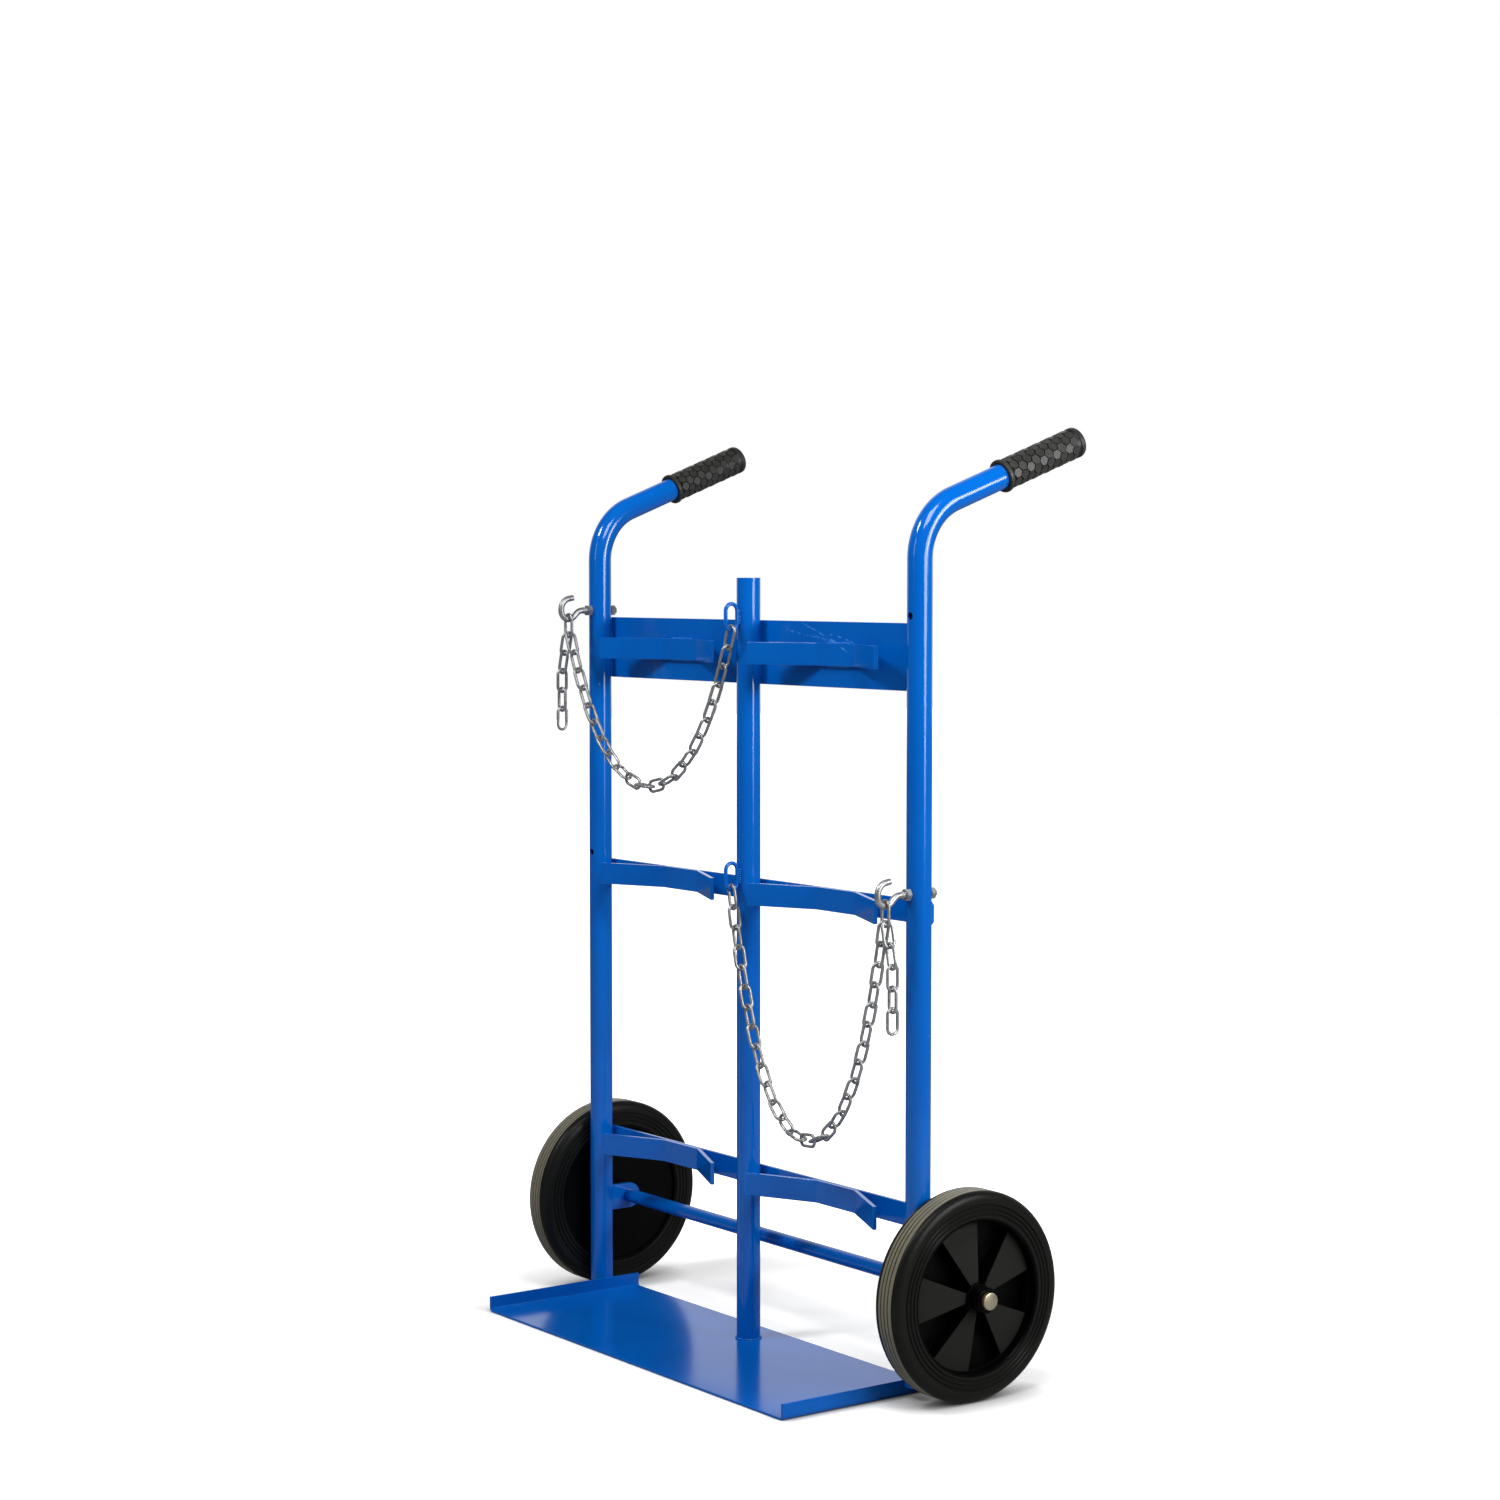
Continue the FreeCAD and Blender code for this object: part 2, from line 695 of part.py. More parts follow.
def oval_loop(wire, length, width, sides, steps):
    """A closed loop of wire with straight legs and round ends, flat faced, lying in its XY plane.

    Length and width are the clear opening. Each end turns in equal steps about the opening's own arc.
    """
    radius = wire / 2
    bow = width / 2 + radius
    leg = length / 2 + radius - bow
    step = math.pi / (steps + 1)
    rings = []
    for i in range(2 * (steps + 1)):
        end = 1 if i <= steps else -1
        angle = -math.pi / 2 + step * (i + 0.5)
        reach = bow / math.cos(step / 2)
        middle = V(end * leg + reach * math.cos(angle), reach * math.sin(angle), 0)
        out = V(math.cos(angle), math.sin(angle), 0) / math.cos(step / 2)
        turns = [2 * math.pi * k / sides for k in range(sides)]
        rings.append([middle + out * (radius * math.cos(a)) + V(0, 0, radius * math.sin(a)) for a in turns])
    faces = []
    for i, here in enumerate(rings):
        after = rings[(i + 1) % len(rings)]
        for k in range(sides):
            n = (k + 1) % sides
            faces.append(Part.Face(Part.makePolygon([here[k], after[k], after[n], here[n], here[k]])))
    loop = Part.Solid(Part.Shell(faces))
    return loop if loop.Volume > 0 else loop.reversed()


def make_eye(side):
    """An oval eye of round bar, welded to the front of the post."""
    wire = d["eye_wire"].value
    loop = oval_loop(wire, d["eye_height"].value - 2 * wire, d["eye_depth"].value - 2 * wire, EYE_SIDES, 4)
    eye = doc.addObject("Part::Feature", f"{SIDE_NAMES[side]}_chain_eye")
    eye.Shape = loop
    place(eye, 0, -back_face - d["eye_depth"] / 2, eye_level(side), [(Y_AXIS, 90)])
    return eye


def make_chain_anchors():
    """Hook bolts, their nuts and the eyes on the post."""
    add_node("hook_bolts", compound("hook_bolts", [make_hook(side) for side in SIDE_NAMES]))
    nuts = [make_nut(side, end) for side in SIDE_NAMES for end in (-1, 1)]
    add_node("hook_nuts", compound("hook_nuts", nuts))
    add_node("chain_eyes", compound("chain_eyes", [make_eye(side) for side in SIDE_NAMES]))


def hang(span, rise, lengths):
    """Slopes, in radians, of links of given lengths that hang across a span and end a rise higher."""

    def angles(start, step):
        return [math.atan(start + step * i) for i in range(len(lengths))]

    def reach(function, slopes):
        return sum(length * function(a) for length, a in zip(lengths, slopes))

    def start_for(step):
        low, high = -step * len(lengths) - 20, 20
        for _ in range(80):
            middle = (low + high) / 2
            if reach(math.sin, angles(middle, step)) < rise:
                low = middle
            else:
                high = middle
        return low

    low, high = 0.0, 20.0
    for _ in range(80):
        step = (low + high) / 2
        if reach(math.cos, angles(start_for(step), step)) > span:
            low = step
        else:
            high = step
    return angles(start_for(low), low)


def link_at(link, middle, along, across):
    """A copy of the link with its long axis and its width turned to two directions."""
    copy = link.copy()
    turn = FreeCAD.Rotation(along, across, along.cross(across), "XYZ")
    copy.Placement = FreeCAD.Placement(middle, turn)
    return copy


def hook_link_top(side):
    """Centre of the wire at the top of the link that hangs on a hook's ring."""
    seat = d["hook_ring"] - d["hook_rod"] / 2 - d["link_play"] / 2 - wire_radius
    return V(upright_x.value * side, -d["hook_reach"].value, hook_level(side).value - seat.value)


def make_chain(side):
    """One bay's chain: links from the post's eye to the hook, the hook's link and the loose end."""
    length, play = d["link_length"].value, d["link_play"].value
    wire, bow = wire_radius.value, bow_radius.value
    count = int(d[f"{SIDE_NAMES[side]}_chain_links"].value)
    link = oval_loop(d["chain_wire"].value, length, d["link_width"].value, LINK_SIDES, 3)
    eye_wire = d["eye_wire"].value / 2
    eye_bottom = V(
        0,
        -(back_face + d["eye_depth"] / 2).value,
        (eye_level(side) - d["eye_height"] / 2).value + eye_wire,
    )
    top = hook_link_top(side)
    bow_centre = top - V(0, 0, length + 2 * wire - bow)
    flat = V(top.x - eye_bottom.x, top.y - eye_bottom.y, 0).normalize()
    across = V(0, 0, 1).cross(flat)
    seat = bow - 2 * wire - play / 2
    share = math.asin((2 * wire + play / 2) / (2 * seat))
    wire_end = bow_centre - flat * (seat * math.sin(share)) - V(0, 0, seat * math.cos(share))
    loose_top = bow_centre + flat * (seat * math.sin(share)) - V(0, 0, seat * math.cos(share))

    end_length = length - play / 2 + wire
    lengths = [end_length] + [length - play] * (count - 2) + [end_length]
    lift = eye_wire + wire + play / 2
    start = eye_bottom + V(0, 0, lift)
    for _ in range(12):
        gap = wire_end - start
        slopes = hang(math.hypot(gap.x, gap.y), gap.z, lengths)
        along = flat * math.cos(slopes[0]) + V(0, 0, math.sin(slopes[0]))
        start = eye_bottom - along * lift

    links = []
    here = start
    for i, (slope, step) in enumerate(zip(slopes, lengths)):
        along = flat * math.cos(slope) + V(0, 0, math.sin(slope))
        after = here + along * step
        nudge = wire / 2 - play / 4
        shift = {0: -nudge, count - 1: nudge}.get(i, 0)
        middle = (here + after) / 2 - along * shift
        links.append(link_at(link, middle, along, across if i % 2 else along.cross(across)))
        here = after
    down = V(0, 0, -1)
    reach = length / 2 + wire
    links.append(link_at(link, top + down * reach, down, flat))
    chain = doc.addObject("Part::Feature", f"{SIDE_NAMES[side]}_chain")
    chain.Shape = Part.makeCompound(links)
    add_node(f"{SIDE_NAMES[side]}_chain", chain)

    loose = []
    here = loose_top
    for i in range(int(d["loose_links"].value)):
        lean = math.radians(d["loose_lean"].value) if i < 2 else 0
        along = flat * math.sin(lean) + down * math.cos(lean)
        middle = here + along * (reach if i == 0 else (length - play) / 2)
        here = middle + along * ((length - play) / 2)
        loose.append(link_at(link, middle, along, along.cross(across) if i % 2 else across))
    tail = doc.addObject("Part::Feature", f"{SIDE_NAMES[side]}_chain_tail")
    tail.Shape = Part.makeCompound(loose)
    add_node(f"{SIDE_NAMES[side]}_chain_tail", tail)
    pivot = loose_top + down * bow
    lowest = min(link.BoundBox.ZMin for link in links)
    print(f"{SIDE_NAMES[side]} chain swings about {start} and {top}, its tail about {pivot}, low {lowest:.1f}")


def build():
    """Make every piece of the trolley."""
    for side in SIDE_NAMES:
        make_upright(side)
        make_grip(side)
    make_post()
    flat = dict(height=d["flat_height"], thickness=d["flat_thickness"])
    make_cross_member("upper_cross_plate", upright_x - d["plate_setback"], d["plate_height"],
                      d["plate_thickness"], plate_level)
    bar_half = upright_x + d["bar_overhang"]
    make_cross_member("middle_cross_bar", bar_half, level=d["middle_level"], corner=d["bar_corner"], **flat)
    make_cross_member("lower_cross_bar", bar_half, level=d["lower_level"], corner=d["bar_corner"], **flat)
    for side in SIDE_NAMES:
        make_saddle(side, "upper", plate_level)
        make_saddle(side, "middle", d["middle_level"])
        make_saddle(side, "lower", d["lower_level"])
    make_foot_plate()
    make_axle()
    add_node("axle_lugs", compound("axle_lugs", [make_lug(side) for side in SIDE_NAMES]))
    for side in SIDE_NAMES:
        make_tyre(side)
        make_rim(side)
    make_axle_fittings()
    make_chain_anchors()
    for side in SIDE_NAMES:
        make_chain(side)
    doc.recompute()


def check():
    """Stop if any object failed to build or any piece isn't a valid solid."""
    for obj in doc.Objects:
        if "Invalid" in obj.State or "Error" in obj.State:
            raise RuntimeError(f"{obj.Label} failed: {obj.State}")
    for label, obj in nodes.items():
        if obj.Shape.isNull() or not obj.Shape.isValid() or not obj.Shape.Solids:
            raise RuntimeError(f"{label} isn't a valid solid")


def write():
    """Write each piece to its own file."""
    os.makedirs("parts", exist_ok=True)
    for label, obj in nodes.items():
        obj.Shape.exportStep(f"parts/{label}.step")
    print(f"{len(nodes)} pieces written")


build()
check()
write()
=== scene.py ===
"""Dresses a two-bay gas cylinder trolley: painted frame, rubber grips, moulded wheels, plated chains.

Sizes are in millimetres until a mesh is made, and a mesh is in metres. +Z is up, -Y is the front.
"""

from __future__ import annotations

import json
import logging
import math
from dataclasses import dataclass
from enum import Enum
from typing import Callable, Iterable, Iterator, Sequence

import bmesh
import bpy
from mathutils import Matrix, Vector

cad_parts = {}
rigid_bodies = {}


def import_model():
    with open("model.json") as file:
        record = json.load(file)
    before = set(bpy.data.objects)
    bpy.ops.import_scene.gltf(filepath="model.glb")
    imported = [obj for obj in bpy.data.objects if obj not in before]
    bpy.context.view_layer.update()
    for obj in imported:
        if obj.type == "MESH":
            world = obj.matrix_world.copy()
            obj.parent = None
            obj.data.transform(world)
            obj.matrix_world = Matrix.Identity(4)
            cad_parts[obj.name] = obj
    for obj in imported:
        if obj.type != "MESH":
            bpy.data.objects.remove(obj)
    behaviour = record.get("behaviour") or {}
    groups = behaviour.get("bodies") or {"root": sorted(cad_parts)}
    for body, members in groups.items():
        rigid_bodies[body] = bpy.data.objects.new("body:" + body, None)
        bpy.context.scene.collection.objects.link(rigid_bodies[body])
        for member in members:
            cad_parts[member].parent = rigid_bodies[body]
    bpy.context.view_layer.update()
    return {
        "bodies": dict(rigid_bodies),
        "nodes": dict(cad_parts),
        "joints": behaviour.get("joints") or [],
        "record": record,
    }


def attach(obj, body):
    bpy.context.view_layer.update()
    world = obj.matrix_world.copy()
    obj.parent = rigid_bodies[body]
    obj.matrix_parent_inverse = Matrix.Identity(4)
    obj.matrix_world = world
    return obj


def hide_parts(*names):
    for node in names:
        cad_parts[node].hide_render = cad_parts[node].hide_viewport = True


LOG = logging.getLogger("trolley")
MM = 0.001
MERGE_DISTANCE = 1e-6
SLIVER = 1e-7
BEVEL_ANGLE = 40.0
WHITE = (1.0, 1.0, 1.0)
BLACK = (0.0, 0.0, 0.0)
UP = Vector((0.0, 0.0, 1.0))
RIGHTWARDS = Vector((1.0, 0.0, 0.0))
BACKWARDS = Vector((0.0, 1.0, 0.0))
# Places that several pieces share: the uprights, their corner, the tubes' skin and the axle
HALF_SPACING = 337.0
CORNER_HEIGHT = 1039.0
TUBE_FACE = 15.2
AXLE = (43.0, 125.0)
# X and Z of the ends of the scratches on the upper plate and saddle
RUB_MARKS = (
    (94.0, 909.0, 186.0, 877.0),
    (62.0, 901.0, 152.0, 886.0),
    (150.0, 896.0, 200.0, 886.0),
    (120.0, 893.0, 176.0, 884.0),
)

Colour = tuple[float, float, float]
Triple = tuple[float, float, float]
Flat = tuple[float, float]
Line = tuple[float, float, float, float]
Shape = tuple[list[Vector], list[list[int]]]
Spot = tuple[Vector, Vector, Vector]


def metres(*values: float) -> list[float]:
    """Lengths in millimetres as metres."""
    return [value * MM for value in values]


class Side(Enum):
    """The two sides of the trolley, as the sign of X."""

    LEFT = -1
    RIGHT = 1

    @property
    def word(self) -> str:
        """The side's name as it stands in node names."""
        return self.name.lower()


class Level(Enum):
    """The three heights of the saddles, in millimetres."""

    UPPER = 872
    MIDDLE = 573
    LOWER = 210


@dataclass(frozen=True)
class Bay:
    """One bay's chain: the levels of its hook and eye, and the links between them."""

    hook: float
    eye: float
    links: int


BAYS = {Side.LEFT: Bay(921.0, 916.0, 22), Side.RIGHT: Bay(597.0, 592.0, 28)}


# Node graphs


class Graph:
    """A node tree with a method that adds any node."""

    def __init__(self, tree: bpy.types.NodeTree) -> None:
        """Wrap a tree and empty it.

        Args:
            tree: The node tree to fill.
        """
        self.tree = tree
        tree.nodes.clear()

    def node(self, kind: str, settings: dict | None = None, sockets: dict | None = None) -> bpy.types.Node:
        """Add a node.

        Args:
            kind: The node's type.
            settings: Properties, set before any socket.
            sockets: Values or sockets by input name or number.

        Returns:
            The new node.
        """
        node = self.tree.nodes.new(kind)
        for key, value in (settings or {}).items():
            setattr(node, key, value)
        for key, value in (sockets or {}).items():
            self.feed(node.inputs[key], value)
        return node

    def feed(self, socket: bpy.types.NodeSocket, value: object) -> None:
        """Link a socket to an input, or set the input's value.

        Args:
            socket: The input to feed.
            value: A Signal, a socket, or a plain value.
        """
        if isinstance(value, Signal):
            value = value.socket
        if isinstance(value, bpy.types.NodeSocket):
            self.tree.links.new(value, socket)
        elif isinstance(value, tuple) and len(value) == 3 and socket.type == "RGBA":
            socket.default_value = (*value, 1.0)
        else:
            socket.default_value = value

    def maths(self, operation: str, *values: object, clamp: bool = False) -> bpy.types.NodeSocket:
        """Add a Math node.

        Args:
            operation: The node's operation.
            values: Its inputs in order.
            clamp: Whether the result is held between 0 and 1.

        Returns:
            The result.
        """
        settings = {"operation": operation, "use_clamp": clamp}
        return self.node("ShaderNodeMath", settings, dict(enumerate(values))).outputs[0]


def operator(operation: str, reflected: bool = False) -> Callable[..., Signal]:
    """A method for Signal that adds one Math node.

    Args:
        operation: The node's operation.
        reflected: Whether the signal is the second input.

    Returns:
        The method.
    """
    def method(signal: Signal, *others: object) -> Signal:
        """Add the node and wrap its result."""
        values = (*others, signal) if reflected else (signal, *others)
        return Signal(signal.graph, signal.graph.maths(operation, *values))

    return method


class Signal:
    """A socket that carries a number, with arithmetic that adds Math nodes."""

    def __init__(self, graph: ShaderGraph, socket: bpy.types.NodeSocket) -> None:
        """Wrap an output socket of a graph."""
        self.graph = graph
        self.socket = socket

    __add__ = operator("ADD")
    __radd__ = operator("ADD", reflected=True)
    __sub__ = operator("SUBTRACT")
    __rsub__ = operator("SUBTRACT", reflected=True)
    __mul__ = operator("MULTIPLY")
    __pow__ = operator("POWER")
    __abs__ = operator("ABSOLUTE")

    def clamped(self) -> Signal:
        """The same, held between 0 and 1."""
        return Signal(self.graph, self.graph.maths("ADD", self, 0.0, clamp=True))

    def above(self, low: float, high: float) -> Signal:
        """A soft step.

        Args:
            low: Where the step starts.
            high: Where it ends.

        Returns:
            0 below low, 1 above high and a smooth ramp between.
        """
        sockets = {"Value": self, "From Min": low, "From Max": high}
        node = self.graph.node("ShaderNodeMapRange", {"interpolation_type": "SMOOTHSTEP"}, sockets)
        return Signal(self.graph, node.outputs["Result"])

    def within(self, low: float, high: float, soft: float) -> Signal:
        """A soft band.

        Args:
            low: The band's start.
            high: The band's end.
            soft: The width of each edge.

        Returns:
            1 inside the band and 0 outside.
        """
        return self.above(low - soft, low) * (1.0 - self.above(high, high + soft))


class ShaderGraph(Graph):
    """A material's nodes."""

    def __init__(self, name: str) -> None:
        """Start a material.

        Args:
            name: The material's name.
        """
        self.material = bpy.data.materials.new(name)
        self.material.use_nodes = True
        super().__init__(self.material.node_tree)
        self.place = self.node("ShaderNodeTexCoord").outputs["Object"]

    def axis(self, name: str) -> Signal:
        """One Object coordinate, X, Y or Z, in metres."""
        split = self.node("ShaderNodeSeparateXYZ", None, {0: self.place})
        return Signal(self, split.outputs[name])

    def away(self, first: str, second: str, centre: Flat = (0.0, 0.0)) -> Signal:
        """Distance from a line along the third axis.

        Args:
            first: One axis across the line.
            second: The other.
            centre: Where the line crosses them, in millimetres.

        Returns:
            The distance in metres.
        """
        one, two = metres(*centre)
        return ((self.axis(first) - one) ** 2.0 + (self.axis(second) - two) ** 2.0) ** 0.5

    def noise(self, scale: float, detail: float = 2.0, rough: float = 0.5) -> Signal:
        """Noise over the piece.

        Args:
            scale: Cells per metre.
            detail: Octaves.
            rough: How strong the finer octaves are.

        Returns:
            The noise, around 0.5.
        """
        sockets = {"Vector": self.place, "Scale": scale, "Detail": detail, "Roughness": rough}
        return Signal(self, self.node("ShaderNodeTexNoise", None, sockets).outputs[0])

    def mix(self, factor: Signal, first: object, second: object) -> bpy.types.NodeSocket:
        """Mix two colours.

        Args:
            factor: 0 gives the first and 1 the second.
            first: A colour or colour socket.
            second: A colour or colour socket.

        Returns:
            The mixed colour.
        """
        node = self.node("ShaderNodeMix", {"data_type": "RGBA"}, {0: factor, 6: first, 7: second})
        return node.outputs[2]

    def bump(self, height: Signal, distance: float) -> bpy.types.NodeSocket:
        """A bumped normal.

        Args:
            height: The height, 0 to 1.
            distance: What a height of 1 is, in metres.

        Returns:
            The normal.
        """
        return self.node("ShaderNodeBump", None, {"Height": height, "Distance": distance}).outputs[0]

    def finish(self, **sockets: object) -> bpy.types.Material:
        """End in a Principled shader.

        Args:
            sockets: Inputs by name, with underscores for spaces.

        Returns:
            The material.
        """
        named = {key.replace("_", " "): value for key, value in sockets.items()}
        shader = self.node("ShaderNodeBsdfPrincipled", None, named)
        self.node("ShaderNodeOutputMaterial", None, {"Surface": shader.outputs[0]})
        return self.material


# Finishes


@dataclass(frozen=True)
class Finish:
    """A finish: its roughness and what noise adds to it, its relief in metres, and its shine."""

    name: str
    roughness: Flat
    relief: float
    shine: float

    def material(self) -> bpy.types.Material:
        """Build the finish.

        Returns:
            The material.
        """
        g = ShaderGraph(self.name)
        return g.finish(Specular_IOR_Level=self.shine, **self.sockets(g))

    def sockets(self, g: ShaderGraph) -> dict[str, object]:
        """What feeds the shader.

        Args:
            g: The material's nodes.

        Returns:
            Inputs by name, with underscores for spaces.
        """
        raise NotImplementedError

    def rough(self, noise: Signal) -> Signal:
        """The roughness over a noise."""
        return self.roughness[0] + noise * self.roughness[1]


@dataclass(frozen=True)
class GlossPaint(Finish):
    """Blue enamel with a faint orange peel, small chips and, where something rubs, fine scratches."""

    roughness: Flat = (0.085, 0.06)
    relief: float = 0.000002
    shine: float = 0.4
    colour: Colour = (0.0005, 0.115, 0.50)
    deep: Colour = (0.0005, 0.101, 0.46)
    pale: Colour = (0.10, 0.38, 0.80)
    chips: Flat = (0.735, 0.76)
    chip_strength: float = 0.7
    mark_roughness: float = 0.25
    scratches: tuple[Line, ...] = ()
    scratch_width: Flat = (0.3, 1.6)
    scratch_waver: float = 6.0
    scratch_fade: float = 4.0
    scratch_depth: Flat = (16.5, 17.5)
    scratch_breaks: Flat = (0.46, 0.62)
    scratch_strength: float = 0.5

    def sockets(self, g: ShaderGraph) -> dict[str, object]:
        """The paint's colour, roughness and peel."""
        drift = g.noise(7.0, 3.0)
        peel = g.noise(230.0, 1.0)
        dust = g.noise(45.0, 8.0, 0.7)
        colour = g.mix(drift.above(0.35, 0.7), self.colour, self.deep)
        marks = g.noise(150.0, 4.0, 0.6).above(*self.chips) * self.chip_strength
        for line in self.scratches:
            marks = (marks + self.scratch(g, line)).clamped()
        rough = self.rough(dust) + marks * self.mark_roughness
        return dict(Base_Color=g.mix(marks, colour, self.pale), Roughness=rough,
                    Normal=g.bump(peel, self.relief))

    def scratch(self, g: ShaderGraph, line: Line) -> Signal:
        """A broken scratch on the front of a piece.

        Args:
            g: The paint's nodes.
            line: X and Z of its two ends, in millimetres.

        Returns:
            The scratch's strength.
        """
        x0, z0, x1, z1 = metres(*line)
        length = math.hypot(x1 - x0, z1 - z0)
        run, rise = (x1 - x0) / length, (z1 - z0) / length
        x, z = g.axis("X") - x0, g.axis("Z") - z0
        along = (x * run + z * rise).within(0.0, length, self.scratch_fade * MM)
        waver = (g.noise(22.0, 2.0) - 0.5) * (self.scratch_waver * MM)
        across = 1.0 - abs(z * run - x * rise + waver).above(*metres(*self.scratch_width))
        front = 1.0 - g.axis("Y").above(*metres(*self.scratch_depth))
        breaks = g.noise(130.0, 4.0, 0.7).above(*self.scratch_breaks) * front
        return across * along * breaks * self.scratch_strength


@dataclass(frozen=True)
class Plating(Finish):
    """Bright plated steel with faint clouding."""

    roughness: Flat = (0.36, 0.08)
    relief: float = 0.00001
    shine: float = 0.5
    metallic: float = 0.8
    bright: Colour = (0.41, 0.414, 0.416)
    dull: Colour = (0.25, 0.25, 0.246)

    def sockets(self, g: ShaderGraph) -> dict[str, object]:
        """The plating's colour, roughness and grain."""
        cloud = g.noise(130.0, 5.0, 0.65)
        grain = g.noise(1400.0, 2.0)
        colour = g.mix(cloud.above(0.45, 0.72), self.bright, self.dull)
        return dict(Base_Color=colour, Metallic=self.metallic, Roughness=self.rough(cloud),
                    Normal=g.bump(grain, self.relief))


@dataclass(frozen=True)
class CapMetal(Finish):
    """An axle cap: a silvery flat end and brassy sides."""

    roughness: Flat = (0.32, 0.2)
    relief: float = 0.00002
    shine: float = 0.5
    face: Colour = (0.49, 0.44, 0.32)
    flank: Colour = (0.50, 0.37, 0.18)
    worn: Colour = (0.3, 0.28, 0.24)
    face_start: Flat = (418.4, 418.8)

    def sockets(self, g: ShaderGraph) -> dict[str, object]:
        """The metal's colour, roughness and wear."""
        face = abs(g.axis("X")).above(*metres(*self.face_start))
        wear = g.noise(500.0, 4.0, 0.7)
        colour = g.mix(face, self.flank, self.face)
        colour = g.mix(wear.above(0.55, 0.75) * 0.4, colour, self.worn)
        return dict(Base_Color=colour, Metallic=1.0, Roughness=self.rough(wear),
                    Normal=g.bump(wear, self.relief))


@dataclass(frozen=True)
class GripRubber(Finish):
    """Black rubber, a little worn on the cells, with painted shade darkening the grooves between them."""

    roughness: Flat = (0.40, 0.12)
    relief: float = 0.000003
    shine: float = 0.45
    corner: Triple = (HALF_SPACING, 0.0, CORNER_HEIGHT)
    handle: Triple = (0.0359, 0.9341, 0.3551)
    groove_radius: Flat = (17.5, 17.9)
    # Painted shade: the very dark colour of the grooves between the cells.
    groove: Colour = (0.002, 0.002, 0.002)
    colour: Colour = (0.022, 0.023, 0.021)
    worn: Colour = (0.036, 0.037, 0.034)

    def sockets(self, g: ShaderGraph) -> dict[str, object]:
        """The rubber's colour, roughness and skin."""
        place = (abs(g.axis("X")), g.axis("Y"), g.axis("Z"))
        away = [axis - middle * MM for axis, middle in zip(place, self.corner)]
        along = sum(part * way for part, way in zip(away, self.handle))
        radius = (sum(part * part for part in away) - along * along) ** 0.5
        skin = g.noise(1800.0, 2.0)
        cloud = g.noise(55.0, 6.0, 0.7)
        colour = g.mix(cloud.above(0.45, 0.75), self.colour, self.worn)
        # Painted shade: the skin between the cells and the cells' feet take the very dark groove colour.
        colour = g.mix(radius.above(*metres(*self.groove_radius)), self.groove, colour)
        return dict(Base_Color=colour, Roughness=self.rough(cloud), Normal=g.bump(skin, self.relief))


@dataclass(frozen=True)
class TyreRubber(Finish):
    """Black rubber, dusty on the tread."""

    roughness: Flat = (0.28, 0.16)
    relief: float = 0.00002
    shine: float = 0.12
    colour: Colour = (0.0075, 0.0079, 0.0069)
    tread: Colour = (0.185, 0.176, 0.128)
    dusty: Colour = (0.009, 0.009, 0.008)
    tread_radius: Flat = (123.9, 124.5)
    tread_span: Flat = (366.0, 387.5)
    tread_fade: float = 1.2

    def sockets(self, g: ShaderGraph) -> dict[str, object]:
        """The rubber's colour, roughness and grain."""
        radius = g.away("Y", "Z", AXLE)
        dust = g.noise(90.0, 8.0, 0.7)
        grain = g.noise(1300.0, 3.0)
        flat = abs(g.axis("X")).within(*metres(*self.tread_span, self.tread_fade))
        on_tread = radius.above(*metres(*self.tread_radius)) * flat * (0.75 + dust * 0.5)
        colour = g.mix(on_tread.clamped(), self.colour, self.tread)
        colour = g.mix(dust.above(0.55, 0.8) * 0.5, colour, self.dusty)
        return dict(Base_Color=colour, Roughness=self.rough(dust), Normal=g.bump(grain, self.relief))


@dataclass(frozen=True)
class RimPlastic(Finish):
    """Black moulded plastic with paler satin fans on a shallow cone; off the fans it is darker than the
    plastic, partly painted shade for the deep pockets.
    """

    roughness: Flat = (0.30, 0.10)
    relief: float = 0.00001
    shine: float = 0.06
    fan_roughness: float = 0.14
    crown: Flat = (15.0, 395.0)
    edge: Flat = (90.0, 384.0)
    fan_radius: Flat = (19.0, 88.0)
    fan_fade: float = 1.0
    fan_depth: Triple = (-0.6, 1.0, 0.4)
    # Darker than the plastic itself: painted shade for the deep pockets, also worn by hub and ring. The
    # fans' colour is their satin finish.
    colour: Colour = (0.0012, 0.0014, 0.0012)
    fan: Colour = (0.016, 0.017, 0.015)

    def sockets(self, g: ShaderGraph) -> dict[str, object]:
        """The plastic's colour, roughness and grain."""
        radius = g.away("Y", "Z", AXLE)
        slope = (self.edge[1] - self.crown[1]) / (self.edge[0] - self.crown[0])
        height = abs(g.axis("X")) - (radius - self.crown[0] * MM) * slope - self.crown[1] * MM
        on_cone = height.within(*metres(*self.fan_depth))
        fan = on_cone * radius.within(*metres(*self.fan_radius, self.fan_fade))
        grain = g.noise(1700.0, 2.0)
        cloud = g.noise(30.0, 5.0, 0.65)
        # Painted shade in part: off the fans, the deep pockets keep the darkened colour.
        colour = g.mix(fan * (0.75 + cloud * 0.5), self.colour, self.fan)
        rough = self.rough(cloud) + fan * self.fan_roughness
        return dict(Base_Color=colour, Roughness=rough, Normal=g.bump(grain, self.relief))


class Finishes:
    """Every finish of the trolley, built once."""

    def __init__(self) -> None:
        """Build the materials."""
        self.paint = GlossPaint("blue_enamel").material()
        self.plate_paint = GlossPaint("blue_enamel_rubbed", scratches=RUB_MARKS).material()
        self.floor_paint = GlossPaint("blue_enamel_foot_plate", (0.13, 0.06), shine=0.2).material()
        self.weld_paint = GlossPaint("blue_enamel_on_weld", (0.22, 0.06)).material()
        self.zinc = Plating("bright_zinc").material()
        self.cap = CapMetal("axle_cap_metal").material()
        self.grip = GripRubber("grip_rubber").material()
        self.tyre = TyreRubber("tyre_rubber").material()
        self.rim = RimPlastic("rim_plastic").material()


# Shapes


